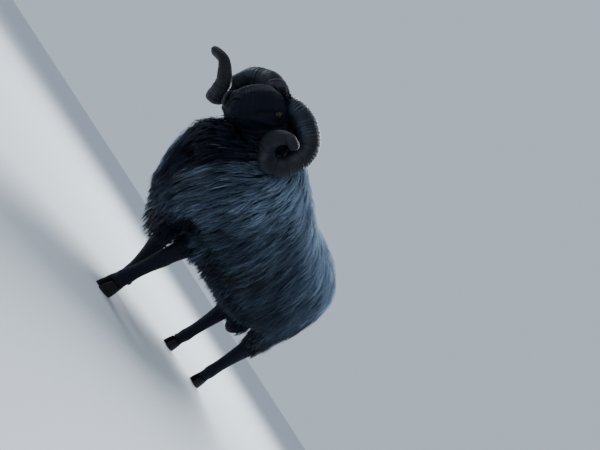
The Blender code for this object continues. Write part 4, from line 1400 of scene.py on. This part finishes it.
def hoof_finish():
    """Dull dark hoof: level growth bands and upright fibres, scuffed pale near the ground."""
    made, nodes, links, shader = new_finish("hoof")
    bands = noise(nodes, links, 90.0, 3.0, (0.25, 0.25, 4.0))
    fibre = noise(nodes, links, 320.0, 3.0, (1.0, 1.0, 0.08))
    where = nodes.new("ShaderNodeTexCoord")
    parts = nodes.new("ShaderNodeSeparateXYZ")
    links.new(where.outputs["Object"], parts.inputs["Vector"])
    height = number(nodes, links, "MULTIPLY", parts.outputs["Z"], 70.0)
    low = number(nodes, links, "MAXIMUM", number(nodes, links, "SUBTRACT", 1.0, height), 0.0)
    level = number(nodes, links, "ADD", number(nodes, links, "MULTIPLY", bands, 0.6),
                   number(nodes, links, "MULTIPLY", fibre, 0.3))
    level = number(nodes, links, "MULTIPLY_ADD", low, 0.25, level)
    links.new(colour_node(nodes, links, level, [
        (0.25, (0.0024, 0.0024, 0.0028)), (0.55, (0.0065, 0.0062, 0.0066)),
        (0.90, (0.0240, 0.0220, 0.0210))]), shader.inputs["Base Color"])
    shader.inputs["Specular IOR Level"].default_value = 0.16
    shader.inputs["Roughness"].default_value = 0.55
    bumped(nodes, links, shader, level, 0.4, 0.0008)
    return made


COAT_COLOURS = coat_colours()
WOOL = wool_finish()
SKIN = skin_finish()
HORN = horn_finish()
EYE = eye_finish()
HOOF = hoof_finish()


# ---------------------------------------------------------------- the whole ram

def finished_skin():
    """The fused skin with its face, ears and lid rims, coloured by the same markings as the coat, with
    painted shade darkening it under the wool.
    """
    skin = fused_skin()
    finer_face(skin)
    sculpt_face(skin)
    extras = together([ear_part(1), ear_part(-1), lid_rim(1), lid_rim(-1)])
    count = len(skin.data.vertices)
    add_parts(skin, extras)
    points = points_of(skin.data)
    black = black_share(points)
    black[count:] = 1.0
    down, out, across = face_place(points)
    wide = np.abs(across)
    rim = np.zeros(len(points))
    rim[-2 * LID_STEPS * LID_SIDES:] = 1.0
    gap, _ = to_line(np.stack([down, wide], axis=1), NOSTRIL)
    nostril = bell(gap, 0.0055) * ramp(out, -0.032, -0.020)
    gap, _ = to_line(np.stack([down, out], axis=1), [(0.240, -0.029), (0.226, -0.040), (0.198, -0.051)])
    lips = bell(gap, 0.0040) * ramp(down, 0.17, 0.20)
    bare = np.clip(rim + (nostril + lips) * (points[:, 1] < -0.60) * (points[:, 2] > 0.5), 0, 1)
    # under the wool the skin takes 0.55 of the fleece's tone: painted shade between the locks
    tone = np.where(black > 0.5, 0.55, 0.55 * fleece_tone_and_painted_light(points))
    attribute = skin.data.attributes.new("shade", "FLOAT_VECTOR", "POINT")
    shade = np.stack([tone, bare, black], axis=1).astype(np.float32)
    attribute.data.foreach_set("vector", shade.ravel())
    skin.data.materials.append(SKIN)
    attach(skin, BODY)
    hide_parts("trunk", "neck", "head", "tail", "scrotum", "ear_left", "ear_right", "leg_fore_left",
                "leg_fore_right", "leg_hind_left", "leg_hind_right")
    return skin


def add_parts(obj, part):
    """Joins more closed parts to an object's mesh."""
    extra = put_mesh("extra", part[0], [part[1], part[2]])
    joined = bmesh.new()
    joined.from_mesh(obj.data)
    joined.from_mesh(extra.data)
    joined.to_mesh(obj.data)
    joined.free()
    obj.data.shade_smooth()
    bpy.data.objects.remove(extra, do_unlink=True)


WOOL_LOCKS = 8600
STRANDS_IN_A_LOCK = 6
FACE_TUFTS = 19000
POLL_TUFTS = 1500
LEG_TUFTS = 9000


def build_ram():
    """Every piece of the ram, in the order that the random draws need."""
    sparse = 1.0
    skin = finished_skin()
    near = NearSkin(points_of(skin.data), normals_of(skin.data))
    wool(skin, near, int(WOOL_LOCKS * sparse), STRANDS_IN_A_LOCK)
    face_coat(skin, int(FACE_TUFTS * sparse))
    poll_tuft(skin, int(POLL_TUFTS * sparse))
    leg_coat(skin, int(LEG_TUFTS * sparse))
    for side in (1, -1):
        horn(side)
        eyeball(side)
    for foot, (foot_x, _) in FEET.items():
        for place in ("inner", "outer"):
            claw(f"claw_{foot}_{place}", foot_x)
    dewclaws()


# ---------------------------------------------------------------- stage, light and camera

CAMERA_AZIMUTH = math.radians(39)  # round from straight ahead to the ram's left
CAMERA_RANGE = 1.72
CAMERA_SIDESTEP = 0.025
CAMERA_HEIGHT = 0.236
CAMERA_PITCH = math.radians(14.42)
CAMERA_ROLL = math.radians(57)
CAMERA_LENS = 27.06


FLOOR_RADIUS = 60
FLOOR_SIDES = 96


def stage_floor():
    """A pale disc under everything, far wider than the view."""
    k = np.arange(FLOOR_SIDES)
    turn = k * TURN / FLOOR_SIDES
    rim = FLOOR_RADIUS * np.stack([np.cos(turn), np.sin(turn), 0 * turn], axis=1)
    points = np.vstack([rim, [0, 0, 0]]) - PLACE * (1, 1, 0)
    middle = np.full(FLOOR_SIDES, FLOOR_SIDES)
    floor = put_mesh("floor", points, [np.stack([k, (k + 1) % FLOOR_SIDES, middle], axis=1)])
    finish, _, _, shader = new_finish("pale floor")
    shader.inputs["Base Color"].default_value = (0.62, 0.64, 0.66, 1)
    shader.inputs["Roughness"].default_value = 0.9
    floor.data.materials.append(finish)


def lamp(name, place, aim, size, power, colour):
    light = bpy.data.lights.new(name, "AREA")
    light.shape = "DISK"
    light.size = size
    light.energy = power
    light.color = colour
    made = bpy.data.objects.new(name, light)
    bpy.context.scene.collection.objects.link(made)
    place, aim = np.array(place) + PLACE, np.array(aim) + PLACE
    made.matrix_world = looking(place, unit(aim - place), np.array([0.0, 0.0, 1.0]))


def looking(place, ahead, up):
    """A matrix whose -Z looks ahead and whose Y is as near to up as it can be."""
    right = unit(np.cross(ahead, up))
    rise = np.cross(right, ahead)
    rows = np.column_stack([right, rise, -ahead, place])
    return Matrix([*rows.tolist(), [0, 0, 0, 1]])


def light_stage():
    """Soft blue light all round, a strong lamp high behind the ram and two weaker ones."""
    world = bpy.data.worlds.new("soft studio")
    world.use_nodes = True
    background = world.node_tree.nodes["Background"]
    background.inputs["Color"].default_value = (0.70, 0.81, 0.96, 1)
    background.inputs["Strength"].default_value = 0.70
    bpy.context.scene.world = world
    lamp("high back light", (-1.0, 1.6, 3.0), (0, -0.1, 0.5), 2.4, 300, (0.88, 0.95, 1.0))
    lamp("far side light", (-3.0, -1.6, 1.8), (0, -0.3, 0.5), 2.2, 60, (0.86, 0.94, 1.0))
    lamp("front fill", (2.4, -2.6, 1.6), (0, -0.2, 0.45), 2.2, 12, (0.95, 0.97, 1.0))


def place_camera():
    """A low camera at the ram's left front, looking up and rolled on its side."""
    a, pitch, roll = CAMERA_AZIMUTH, CAMERA_PITCH, CAMERA_ROLL
    ahead_flat = np.array([-math.sin(a), math.cos(a), 0.0])
    right = np.array([math.cos(a), math.sin(a), 0.0])
    upright = np.array([0.0, 0.0, 1.0])
    ahead = ahead_flat * math.cos(pitch) + upright * math.sin(pitch)
    rise = upright * math.cos(pitch) - ahead_flat * math.sin(pitch)
    place = PLACE - ahead_flat * CAMERA_RANGE - right * CAMERA_SIDESTEP + upright * CAMERA_HEIGHT
    camera = bpy.data.cameras.new("camera")
    camera.lens = CAMERA_LENS
    camera.sensor_width = 36.0
    made = bpy.data.objects.new("camera", camera)
    bpy.context.scene.collection.objects.link(made)
    made.matrix_world = looking(place, ahead, rise * math.cos(roll) - right * math.sin(roll))
    bpy.context.scene.camera = made


build_ram()
stage_floor()
light_stage()
place_camera()
